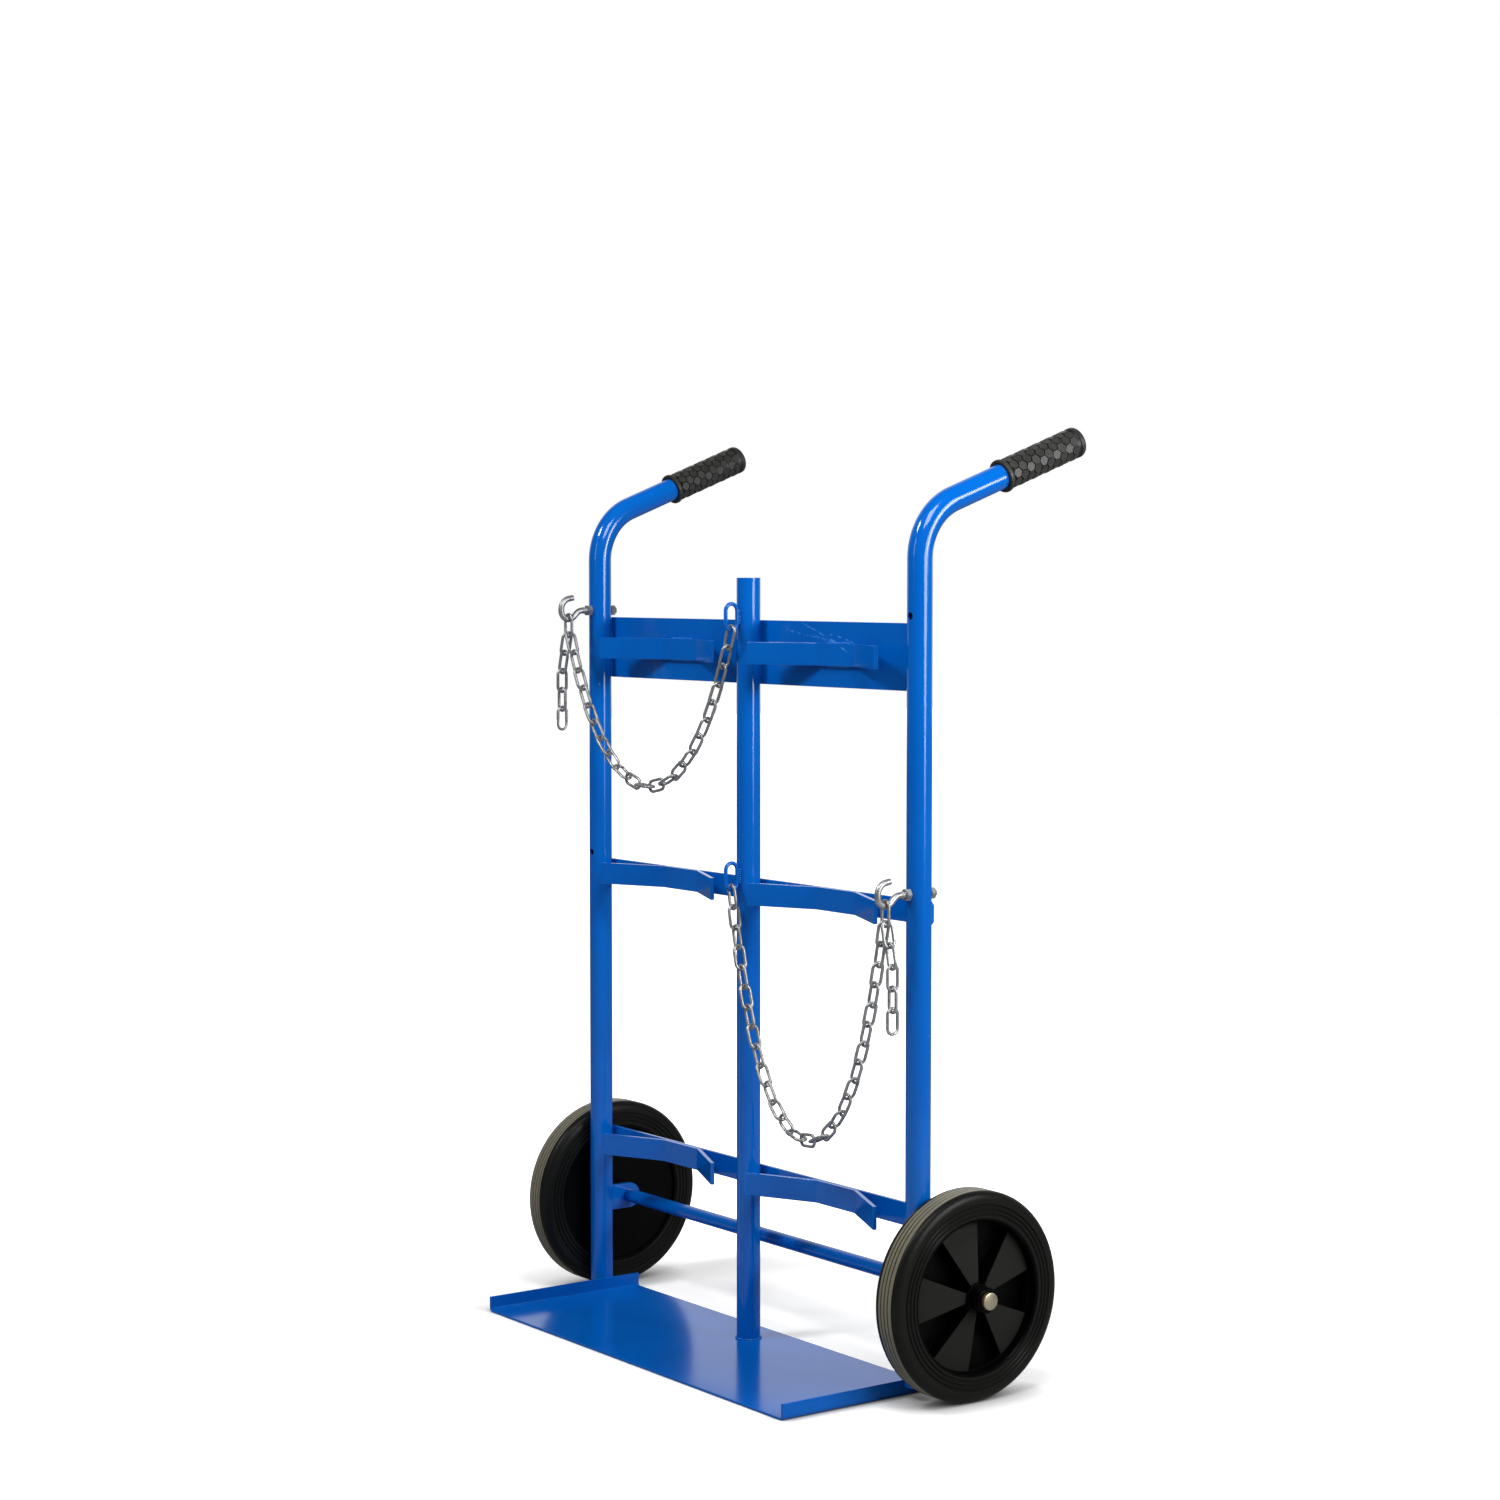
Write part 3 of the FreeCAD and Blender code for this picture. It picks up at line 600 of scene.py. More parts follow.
def walk(start: Flat, heading: float, moves: Iterable[Flat], step: float) -> list[Flat]:
    """Points along straight runs and arcs in a plane.

    Args:
        start: The first point.
        heading: The first direction, in degrees.
        moves: (length, 0) for a run, or (radius, degrees) for an arc, positive to the left.
        step: Degrees between the points of an arc.

    Returns:
        The points.
    """
    x, y = start
    points = [(x, y)]
    angle = math.radians(heading)
    for size, turn in moves:
        if turn == 0:
            x, y = x + size * math.cos(angle), y + size * math.sin(angle)
            points.append((x, y))
            continue
        count = max(2, round(abs(turn) / step))
        part = math.radians(turn) / count
        chord = 2 * size * math.sin(abs(part) / 2)
        for _ in range(count):
            angle += part / 2
            x, y = x + chord * math.cos(angle), y + chord * math.sin(angle)
            angle += part / 2
            points.append((x, y))
    return points


def arc(centre: Flat, radii: Flat, start: float, turn: float, steps: int) -> list[Flat]:
    """Points on a round or oval arc, with both ends.

    Args:
        centre: The arc's middle.
        radii: Its radius along each axis.
        start: The first angle, in degrees.
        turn: The angle that it covers, in degrees.
        steps: Parts between the points.

    Returns:
        The points.
    """
    angles = [math.radians(start + turn / steps * i) for i in range(steps + 1)]
    return [(centre[0] + radii[0] * math.cos(a), centre[1] + radii[1] * math.sin(a)) for a in angles]


def last_below(low: float, high: float, test: Callable[[float], bool], rounds: int = 70) -> float:
    """Halve a range down to where a test turns.

    Args:
        low: A value that passes.
        high: A value that fails.
        test: The test.
        rounds: How often the range is halved.

    Returns:
        The last value that passes.
    """
    for _ in range(rounds):
        middle = (low + high) / 2
        if test(middle):
            low = middle
        else:
            high = middle
    return low


def sweep(path: Sequence[Vector], across: Vector, radius: float, sides: int, bore: float = 0.0,
          closed: bool = False) -> Shape:
    """A round bar or tube along a flat path.

    Args:
        path: The centre line.
        across: The normal of the path's plane.
        radius: The outer radius.
        sides: Faces around.
        bore: The inner radius, or 0 for a solid bar.
        closed: Whether the path is a loop.

    Returns:
        Vertices and faces.
    """
    points, count = [], len(path)
    across = across.normalized()

    def tangent(i: int) -> Vector:
        """Direction of the path at a point."""
        before = path[i - 1] if closed or i > 0 else path[i]
        after = path[(i + 1) % count] if closed or i < count - 1 else path[i]
        return (after - before).normalized()

    def ring(i: int, size: float) -> list[int]:
        """Add a ring of vertices and return their numbers."""
        normal = across.cross(tangent(i))
        first = len(points)
        for k in range(sides):
            turn = 2 * math.pi * k / sides
            points.append(path[i] + normal * (size * math.cos(turn)) + across * (size * math.sin(turn)))
        return list(range(first, first + sides))

    def join(one: list[int], two: list[int]) -> list[list[int]]:
        """Faces between two rings."""
        return [[one[k], one[(k + 1) % sides], two[(k + 1) % sides], two[k]] for k in range(sides)]

    outer = [ring(i, radius) for i in range(count)]
    faces = []
    for i in range(count if closed else count - 1):
        faces += join(outer[i], outer[(i + 1) % count])
    if closed:
        return points, faces
    if bore:
        inner = [ring(i, bore) for i in range(count)]
        for i in range(count - 1):
            faces += join(inner[i + 1], inner[i])
        faces += join(inner[0], outer[0]) + join(outer[-1], inner[-1])
    else:
        faces += [outer[0][::-1], outer[-1]]
    return points, faces


def lathe(profile: Sequence[Flat], steps: int) -> Shape:
    """A closed profile of (radius, height) turned about Z.

    Args:
        profile: The outline's corners.
        steps: Columns around.

    Returns:
        Vertices and faces.
    """
    return lathe_columns([profile] * steps, [2 * math.pi * i / steps for i in range(steps)])


def lathe_columns(columns: Sequence[Sequence[Flat]], angles: Sequence[float]) -> Shape:
    """Closed profiles that change from column to column around Z.

    Args:
        columns: One profile for each column, all of the same length.
        angles: Each column's angle, in radians.

    Returns:
        Vertices and faces.
    """
    points, faces = [], []
    rows, count = len(columns[0]), len(columns)
    for profile, angle in zip(columns, angles):
        points += [Vector((r * math.cos(angle), r * math.sin(angle), z)) for r, z in profile]
    for i in range(count):
        j = (i + 1) % count
        for k in range(rows):
            n = (k + 1) % rows
            faces.append([i * rows + k, j * rows + k, j * rows + n, i * rows + n])
    return points, faces


def prism(outline: Sequence[Flat], depth: float, place: Callable[[float, float, float], Vector]) -> Shape:
    """A flat outline with a thickness.

    Args:
        outline: The corners in order.
        depth: The thickness.
        place: Gives the point for two coordinates of the outline and a depth.

    Returns:
        Vertices and faces.
    """
    count = len(outline)
    points = [place(u, v, 0.0) for u, v in outline] + [place(u, v, depth) for u, v in outline]
    faces = [list(range(count))[::-1], list(range(count, 2 * count))]
    faces += [[i, (i + 1) % count, count + (i + 1) % count, count + i] for i in range(count)]
    return points, faces


def moved(shape: Shape, matrix: Matrix) -> Shape:
    """A shape under a transform."""
    return [matrix @ point for point in shape[0]], shape[1]


def joined(shapes: Iterable[Shape]) -> Shape:
    """Several shapes as one."""
    points, faces = [], []
    for more, loops in shapes:
        first = len(points)
        points += more
        faces += [[first + i for i in loop] for loop in loops]
    return points, faces


def axes(x: Vector, y: Vector, z: Vector, origin: Vector) -> Matrix:
    """The transform that takes the axes to three directions and the origin to a point."""
    turn = Matrix((x, y, z)).transposed().to_4x4()
    return Matrix.Translation(origin) @ turn


def along_axle(side: Side, x: float) -> Matrix:
    """Takes a lathe's Z axis outwards along the axle.

    Args:
        side: Which wheel.
        x: Distance of the lathe's zero from the middle.

    Returns:
        The transform.
    """
    out = Vector((side.value, 0, 0))
    return axes(Vector((0, side.value, 0)), UP, out, Vector((side.value * x, *AXLE)))


class Assembly:
    """Turns shapes into pieces that ride on a body and stand for CAD nodes."""

    def __init__(self, finishes: Finishes) -> None:
        """Keep the finishes.

        Args:
            finishes: The materials to dress pieces with.
        """
        self.finishes = finishes

    def mesh(self, name: str, shape: Shape, material: bpy.types.Material, bevel: float = 0.0,
             segments: int = 2, sharp: float = 38.0) -> bpy.types.Object:
        """Make an object from a shape in millimetres.

        Args:
            name: The object's name.
            shape: Vertices and faces.
            material: Its finish.
            bevel: Width of the rounding on sharp edges, in millimetres.
            segments: Faces across that rounding.
            sharp: Angle past which an edge stays sharp, in degrees.

        Returns:
            The object.
        """
        bm = bmesh.new()
        corners = [bm.verts.new(point * MM) for point in shape[0]]
        for loop in shape[1]:
            bm.faces.new([corners[i] for i in loop])
        bmesh.ops.remove_doubles(bm, verts=bm.verts, dist=MERGE_DISTANCE)
        bmesh.ops.dissolve_degenerate(bm, edges=bm.edges, dist=SLIVER)
        bmesh.ops.recalc_face_normals(bm, faces=bm.faces)
        data = bpy.data.meshes.new(name)
        bm.to_mesh(data)
        bm.free()
        data.materials.append(material)
        obj = bpy.data.objects.new(name, data)
        bpy.context.scene.collection.objects.link(obj)
        if bevel:
            edge = obj.modifiers.new("edge", "BEVEL")
            edge.width = bevel * MM
            edge.segments = segments
            edge.limit_method = "ANGLE"
            edge.angle_limit = math.radians(BEVEL_ANGLE)
            self.bake(obj)
        obj.data.shade_smooth()
        obj.data.set_sharp_from_angle(angle=math.radians(sharp))
        if bevel:
            flat = obj.modifiers.new("flat faces", "WEIGHTED_NORMAL")
            flat.keep_sharp = True
            self.bake(obj)
        return obj

    def make(self, name: str, shape: Shape, material: bpy.types.Material, slot: str, *nodes: str,
             body: str = "frame", **edges: float) -> None:
        """Make a piece from a shape and fit it.

        Args:
            name: The piece's name.
            shape: Vertices and faces, in millimetres.
            material: Its finish.
            slot: The record's material slot.
            nodes: The CAD nodes that it stands for.
            body: The body that it rides on.
            edges: How its edges are rounded and shaded, as in mesh.
        """
        self.fit(self.mesh(name, shape, material, **edges), body, slot, *nodes)

    def bake(self, obj: bpy.types.Object) -> None:
        """Replace an object's mesh by what its modifiers make, and drop them."""
        graph = bpy.context.evaluated_depsgraph_get()
        made = bpy.data.meshes.new_from_object(obj.evaluated_get(graph), preserve_all_data_layers=True,
                                               depsgraph=graph)
        old = obj.data
        obj.modifiers.clear()
        obj.data = made
        made.name = obj.name
        bpy.data.meshes.remove(old)

    def drill(self, obj: bpy.types.Object, shape: Shape) -> None:
        """Cut a shape, in millimetres, out of an object."""
        cutter = self.mesh("cutter", shape, self.finishes.paint)
        cut = obj.modifiers.new("cut", "BOOLEAN")
        cut.operation = "DIFFERENCE"
        cut.solver = "EXACT"
        cut.object = cutter
        self.bake(obj)
        bpy.data.objects.remove(cutter)

    def fit(self, obj: bpy.types.Object, body: str, slot: str, *nodes: str) -> None:
        """Ride a piece on a body, in place of CAD nodes.

        Args:
            obj: The piece.
            body: The body's name.
            slot: The record's material slot; not used.
            nodes: The CAD nodes that it stands for.
        """
        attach(obj, body)
        if nodes:
            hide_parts(*nodes)
        LOG.info("%s rides on %s: %d faces", obj.name, body, len(obj.data.polygons))


class Pattern(Graph):
    """A Geometry Nodes tree that sets a small form on every point of a mesh."""

    def __init__(self, name: str, sizes: dict[str, float]) -> None:
        """Start the tree.

        Args:
            name: The tree's name.
            sizes: Its named inputs and their values.
        """
        tree = bpy.data.node_groups.new(name, "GeometryNodeTree")
        super().__init__(tree)
        self.name = name
        self.sizes = sizes
        tree.interface.new_socket("Geometry", in_out="INPUT", socket_type="NodeSocketGeometry")
        tree.interface.new_socket("Geometry", in_out="OUTPUT", socket_type="NodeSocketGeometry")
        for key in sizes:
            tree.interface.new_socket(key, in_out="INPUT", socket_type="NodeSocketFloat")
        self.source = self.node("NodeGroupInput").outputs

    def circle(self, sides: int, radius: object) -> bpy.types.NodeSocket:
        """A round curve.

        Args:
            sides: Its points.
            radius: A socket or a length in metres.

        Returns:
            The curve.
        """
        sockets = {"Resolution": sides, "Radius": radius}
        return self.node("GeometryNodeCurvePrimitiveCircle", None, sockets).outputs[0]

    def bar(self, line: bpy.types.NodeSocket, section: bpy.types.NodeSocket) -> bpy.types.NodeSocket:
        """A bar of a section along a curve."""
        sockets = {"Curve": line, "Profile Curve": section}
        return self.node("GeometryNodeCurveToMesh", None, sockets).outputs[0]

    def direction(self, name: str) -> bpy.types.NodeSocket:
        """A vector attribute of the points."""
        return self.node("GeometryNodeInputNamedAttribute", {"data_type": "FLOAT_VECTOR"},
                         {"Name": name}).outputs[0]

    def spread(self, form: bpy.types.NodeSocket, primary: str, secondary: str, material: bpy.types.Material,
               smooth: bool = True, vary: float = 0.0, seed: int = 7) -> None:
        """Set the form on the points and end the tree.

        Args:
            form: The geometry to repeat.
            primary: The form's axis that follows the points' "primary" attribute.
            secondary: The form's axis that follows the points' "secondary" attribute.
            material: The finish.
            smooth: Whether the form is smooth.
            vary: How much the copies differ in size.
            seed: The seed of that difference.
        """
        turn = self.node("FunctionNodeAxesToRotation",
                         {"primary_axis": primary, "secondary_axis": secondary},
                         {0: self.direction("primary"), 1: self.direction("secondary")})
        sockets = {"Points": self.source["Geometry"], "Instance": form, "Rotation": turn.outputs[0]}
        if vary:
            low, high = (1.0 - vary,) * 3, (1.0 + vary,) * 3
            size = self.node("FunctionNodeRandomValue", {"data_type": "FLOAT_VECTOR"},
                             {0: low, 1: high, "Seed": seed})
            sockets["Scale"] = size.outputs[0]
        copies = self.node("GeometryNodeInstanceOnPoints", None, sockets)
        real = self.node("GeometryNodeRealizeInstances", None, {0: copies.outputs[0]})
        shaded = self.node("GeometryNodeSetShadeSmooth", None,
                           {"Geometry": real.outputs[0], "Shade Smooth": smooth})
        dressed = self.node("GeometryNodeSetMaterial", None,
                            {"Geometry": shaded.outputs[0], "Material": material})
        self.node("NodeGroupOutput", None, {0: dressed.outputs[0]})

    def piece(self, assembly: Assembly, name: str, spots: Sequence[Spot]) -> bpy.types.Object:
        """Run the tree on points.

        Args:
            assembly: Bakes the result.
            name: The piece's name.
            spots: A place in millimetres, a primary and a secondary direction for each copy.

        Returns:
            A plain mesh object.
        """
        data = bpy.data.meshes.new(name)
        data.from_pydata([place * MM for place, _, _ in spots], [], [])
        for number, key in ((1, "primary"), (2, "secondary")):
            layer = data.attributes.new(key, "FLOAT_VECTOR", "POINT")
            for i, spot in enumerate(spots):
                layer.data[i].vector = spot[number]
        obj = bpy.data.objects.new(name, data)
        bpy.context.scene.collection.objects.link(obj)
        modifier = obj.modifiers.new(self.name, "NODES")
        modifier.node_group = self.tree
        for item in self.tree.interface.items_tree:
            if item.in_out == "INPUT" and item.name in self.sizes:
                modifier[item.identifier] = self.sizes[item.name]
        assembly.bake(obj)
        return obj


# Sub-assemblies


@dataclass
class TubeFrame(Assembly):
    """The two bent uprights and the centre post."""

    finishes: Finishes
    radius: float = 15.0
    wall: float = 2.0
    sides: int = 48
    sharp: float = 50.0
    foot: float = 15.0
    bend: float = 75.0
    rise: float = 20.8
    splay: float = 2.2
    handle: float = 247.0
    post_foot: float = 3.2
    post_top: float = 965.0
    hole_radius: float = 4.5
    drill_reach: float = 20.0
    hole_sides: int = 24

    def back(self, side: Side) -> Vector:
        """The level direction that a handle reaches back in."""
        splay = math.radians(self.splay)
        return Vector((side.value * math.sin(splay), math.cos(splay), 0.0))

    def handle_point(self, side: Side, distance: float) -> Vector:
        """A point of a handle's straight line, measured from the corner."""
        rise = math.radians(self.rise)
        corner = Vector((side.value * HALF_SPACING, 0.0, CORNER_HEIGHT))
        return corner + self.back(side) * (distance * math.cos(rise)) + UP * (distance * math.sin(rise))

    def handle_direction(self, side: Side) -> Vector:
        """The way a handle points."""
        return (self.handle_point(side, 1.0) - self.handle_point(side, 0.0)).normalized()

    def tube(self, path: Sequence[Vector], across: Vector) -> Shape:
        """A tube of the frame along a path."""
        return sweep(path, across, self.radius, self.sides, bore=self.radius - self.wall)

    def upright(self, side: Side) -> None:
        """Build one upright, drilled at both hook levels.

        Args:
            side: Which one.
        """
        turn = 90.0 - self.rise
        reach = self.bend * math.tan(math.radians(turn / 2))
        rails = walk((0.0, self.foot), 90.0, [
            (CORNER_HEIGHT - self.foot - reach, 0.0),
            (self.bend, -turn),
            (self.handle - reach, 0.0),
        ], step=3.0)
        back = self.back(side)
        base = RIGHTWARDS * (side.value * HALF_SPACING)
        shape = self.tube([base + back * u + UP * v for u, v in rails], back.cross(UP))
        obj = self.mesh(f"{side.word}_upright_tube", shape, self.finishes.paint, sharp=self.sharp)
        for bay in BAYS.values():
            line = [base + Vector((0.0, y, bay.hook)) for y in (-self.drill_reach, self.drill_reach)]
            self.drill(obj, sweep(line, UP, self.hole_radius, self.hole_sides))
        obj.data.shade_smooth()
        obj.data.set_sharp_from_angle(angle=math.radians(self.sharp))
        self.fit(obj, "frame", "blue_paint", f"{side.word}_upright")

    def post(self) -> None:
        """Build the open-topped post."""
        shape = self.tube([UP * self.post_foot, UP * self.post_top], RIGHTWARDS)
        self.make("centre_post_tube", shape, self.finishes.paint, "blue_paint", "centre_post",
                  bevel=0.35, sharp=self.sharp)

    def build(self) -> None:
        """Build the tubes."""
        for side in Side:
            self.upright(side)
        self.post()


@dataclass
class Grips(Assembly):
    """Rubber grips with raised six-sided cells."""

    finishes: Finishes
    frame: TubeFrame
    start: float = 127.2
    length: float = 124.7
    bore: float = 15.1
    bore_end: float = 120.0
    skin: float = 17.3
    radius: float = 18.75
    collar: float = 20.25
    collar_width: float = 6.0
    edge: float = 4.6
    end_band: float = 8.0
    cells_around: int = 10
    cell_foot: float = 17.0
    cell_face: float = 18.15
    groove: float = 1.3
    groove_foot: float = 0.7
    first_gap: float = 0.2
    last_reach: float = 0.8
    stretch: float = 1.06
    columns: int = 72

    def body(self, side: Side) -> bpy.types.Object:
        """Turn one grip's body.

        Args:
            side: Which one.

        Returns:
            The object.
        """
        end = self.length
        round_end = arc((self.radius - self.edge, end - self.edge), (self.edge, self.edge), 10.0, 80.0, 8)
        band = end - self.end_band
        profile = [
            (self.bore, 0.0), (self.collar - 1.2, 0.0), (self.collar - 0.3, 0.4), (self.collar, 1.3),
            (self.collar, self.collar_width - 2.6), (self.collar - 0.4, self.collar_width - 1.4),
            (self.collar - 1.4, self.collar_width), (self.skin + 0.2, self.collar_width + 0.2),
            (self.skin, self.collar_width + 0.5), (self.skin, band - 0.7), (self.skin + 0.2, band - 0.4),
            (self.radius, band), (self.radius, end - self.edge), *round_end, (0.0, end),
            (0.0, self.bore_end), (self.bore, self.bore_end),
        ]
        shape = moved(lathe(profile, self.columns), self.matrix(side))
        return self.mesh(f"{side.word}_grip_body", shape, self.finishes.grip)

    def matrix(self, side: Side) -> Matrix:
        """Takes a lathe's Z axis along a handle."""
        out = self.frame.handle_direction(side)
        level = out.cross(UP).normalized()
        return axes(level, out.cross(level), out, self.frame.handle_point(side, self.start))

    def cells(self, side: Side) -> bpy.types.Object:
        """Spread the raised cells over one grip.

        Args:
            side: Which one.

        Returns:
            The object.
        """
        pitch = 2 * math.pi * self.cell_face / self.cells_around
        name = f"{side.word}_grip_cells"
        tree = Pattern(name, {
            "Foot": (pitch - self.groove * self.groove_foot) / math.sqrt(3) * MM,
            "Head": (pitch - self.groove) / math.sqrt(3) * MM,
            "Height": (self.cell_face - self.cell_foot) * MM,
        })
        cone = tree.node("GeometryNodeMeshCone", {"fill_type": "NGON"}, {
            "Vertices": 6, "Radius Bottom": tree.source["Foot"], "Radius Top": tree.source["Head"],
            "Depth": tree.source["Height"]})
        tree.spread(cone.outputs["Mesh"], "Z", "X", self.finishes.grip, smooth=False)
        matrix = self.matrix(side)
        turn = matrix.to_3x3()
        row_pitch = pitch * math.sqrt(3) / 2 * self.stretch
        first = self.collar_width + pitch / math.sqrt(3) + self.first_gap
        last = self.length - self.end_band - pitch / math.sqrt(3) * self.last_reach
        spots = []
        for row in range(int((last - first) / row_pitch) + 1):
            for k in range(self.cells_around):
                angle = 2 * math.pi * (k + 0.5 * (row % 2)) / self.cells_around
                out = Vector((math.cos(angle), math.sin(angle), 0.0))
                place = out * self.cell_foot + UP * (first + row * row_pitch)
                spots.append((matrix @ place, turn @ out, turn @ UP))
        return tree.piece(self, name, spots)

    def build(self) -> None:
        """Build both grips."""
        for side in Side:
            self.fit(self.body(side), "frame", "grip_rubber", f"{side.word}_grip")
            self.fit(self.cells(side), "frame", "grip_rubber")


@dataclass
class CrossMembers(Assembly):
    """The plate and bars behind the tubes, and the saddles in front of them."""

    finishes: Finishes
    thickness: float = 5.0
    plate_half: float = 333.0
    plate_height: float = 80.0
    bar_half: float = 341.0
    bar_height: float = 28.0
    bar_corner: float = 4.0
    saddle_centre: float = 165.0
    saddle_flat: float = 77.0
    saddle_width: float = 254.0
    saddle_angle: float = 25.0
    saddle_bend: float = 8.0
    weld_gap: float = 0.2
    edge: float = 0.6

    def steel(self, name: str, shape: Shape, paint: bpy.types.Material) -> None:
        """Make one flat steel piece, named after its CAD node.

        Args:
            name: The node's name.
            shape: Vertices and faces.
            paint: Its finish.
        """
        self.make(f"{name}_steel", shape, paint, "blue_paint", name, bevel=self.edge, segments=3)

    def strip(self, outline: Sequence[Flat], level: Level) -> Shape:
        """A flat outline behind the tubes at a level."""
        return prism(outline, self.thickness, lambda u, v, w: Vector((u, TUBE_FACE + w, level.value + v)))

    def plate(self) -> None:
        """Build the wide upper plate."""
        x, z = self.plate_half, self.plate_height / 2
        shape = self.strip([(-x, -z), (x, -z), (x, z), (-x, z)], Level.UPPER)
        self.steel("upper_cross_plate", shape, self.finishes.plate_paint)

    def bar(self, level: Level) -> None:
        """Build a cross bar with clipped corners.

        Args:
            level: Its height.
        """
        x, z, c = self.bar_half, self.bar_height / 2, self.bar_corner
        outline = [(-x + c, -z), (x - c, -z), (x, -z + c), (x, z - c),
                   (x - c, z), (-x + c, z), (-x, z - c), (-x, -z + c)]
        self.steel(f"{level.name.lower()}_cross_bar", self.strip(outline, level), self.finishes.paint)

    def saddle(self, side: Side, level: Level) -> None:
        """Build one bent saddle.

        Args:
            side: Its bay.
            level: Its height.
        """
        middle = self.saddle_flat / 2
        tip = self.saddle_width / 2
        reach = self.saddle_bend * math.tan(math.radians(self.saddle_angle / 2))
        run = (tip - middle) / math.cos(math.radians(self.saddle_angle)) - reach
        moves = [(middle - reach, 0.0), (self.saddle_bend, -self.saddle_angle), (run, 0.0)]
        half = walk((0.0, 0.0), 0.0, moves, step=4.0)
        line = [(-u, v) for u, v in half[:0:-1]] + half
        deep = TUBE_FACE - self.weld_gap - self.thickness / 2
        x = side.value * self.saddle_centre
        z = level.value - self.bar_height / 2
        shape = prism(self.thicken(line), self.bar_height, lambda u, v, w: Vector((x + u, deep + v, z + w)))
        rubbed = side is Side.RIGHT and level is Level.UPPER
        paint = self.finishes.plate_paint if rubbed else self.finishes.paint
        self.steel(f"{side.word}_{level.name.lower()}_saddle", shape, paint)

    def thicken(self, line: Sequence[Flat]) -> list[Flat]:
        """The outline of a bent bar.

        Args:
            line: The bar's centre line.

        Returns:
            One side forwards and the other back.
        """
        sides: list[list[Flat]] = [[], []]
        for i, (u, v) in enumerate(line):
            one, two = line[max(i - 1, 0)], line[min(i + 1, len(line) - 1)]
            angle = math.atan2(two[1] - one[1], two[0] - one[0]) + math.pi / 2
            for sign, edge in zip((1, -1), sides):
                offset = sign * self.thickness / 2
                edge.append((u + offset * math.cos(angle), v + offset * math.sin(angle)))
        return sides[1] + sides[0][::-1]

    def build(self) -> None:
        """Build the plate, bars and saddles."""
        self.plate()
        for level in (Level.MIDDLE, Level.LOWER):
            self.bar(level)
        for side in Side:
            for level in Level:
                self.saddle(side, level)


@dataclass
class FootPlate(Assembly):
    """The folded plate on the floor."""

    finishes: Finishes
    half: float = 321.8
    thickness: float = 3.0
    front: float = -187.0
    rear: float = 48.0
    flange: float = 20.0
    fold: float = 6.0

    def build(self) -> None:
        """Build the plate."""
        centre = (self.half - self.fold, self.fold)
        outer, inner = (arc(centre, (radius, radius), 270.0, 90.0, 10)
                        for radius in (self.fold, self.fold - self.thickness))
        right = outer + [(self.half, self.flange), (self.half - self.thickness, self.flange)] + inner[::-1]
        left = [(-u, v) for u, v in right[::-1]]
        span = self.rear - self.front
        shape = prism(right + left, span, lambda u, v, w: Vector((u, self.rear - w, v)))
        self.make("foot_plate_steel", shape, self.finishes.floor_paint, "blue_paint", "foot_plate",
                  bevel=0.5, segments=3)


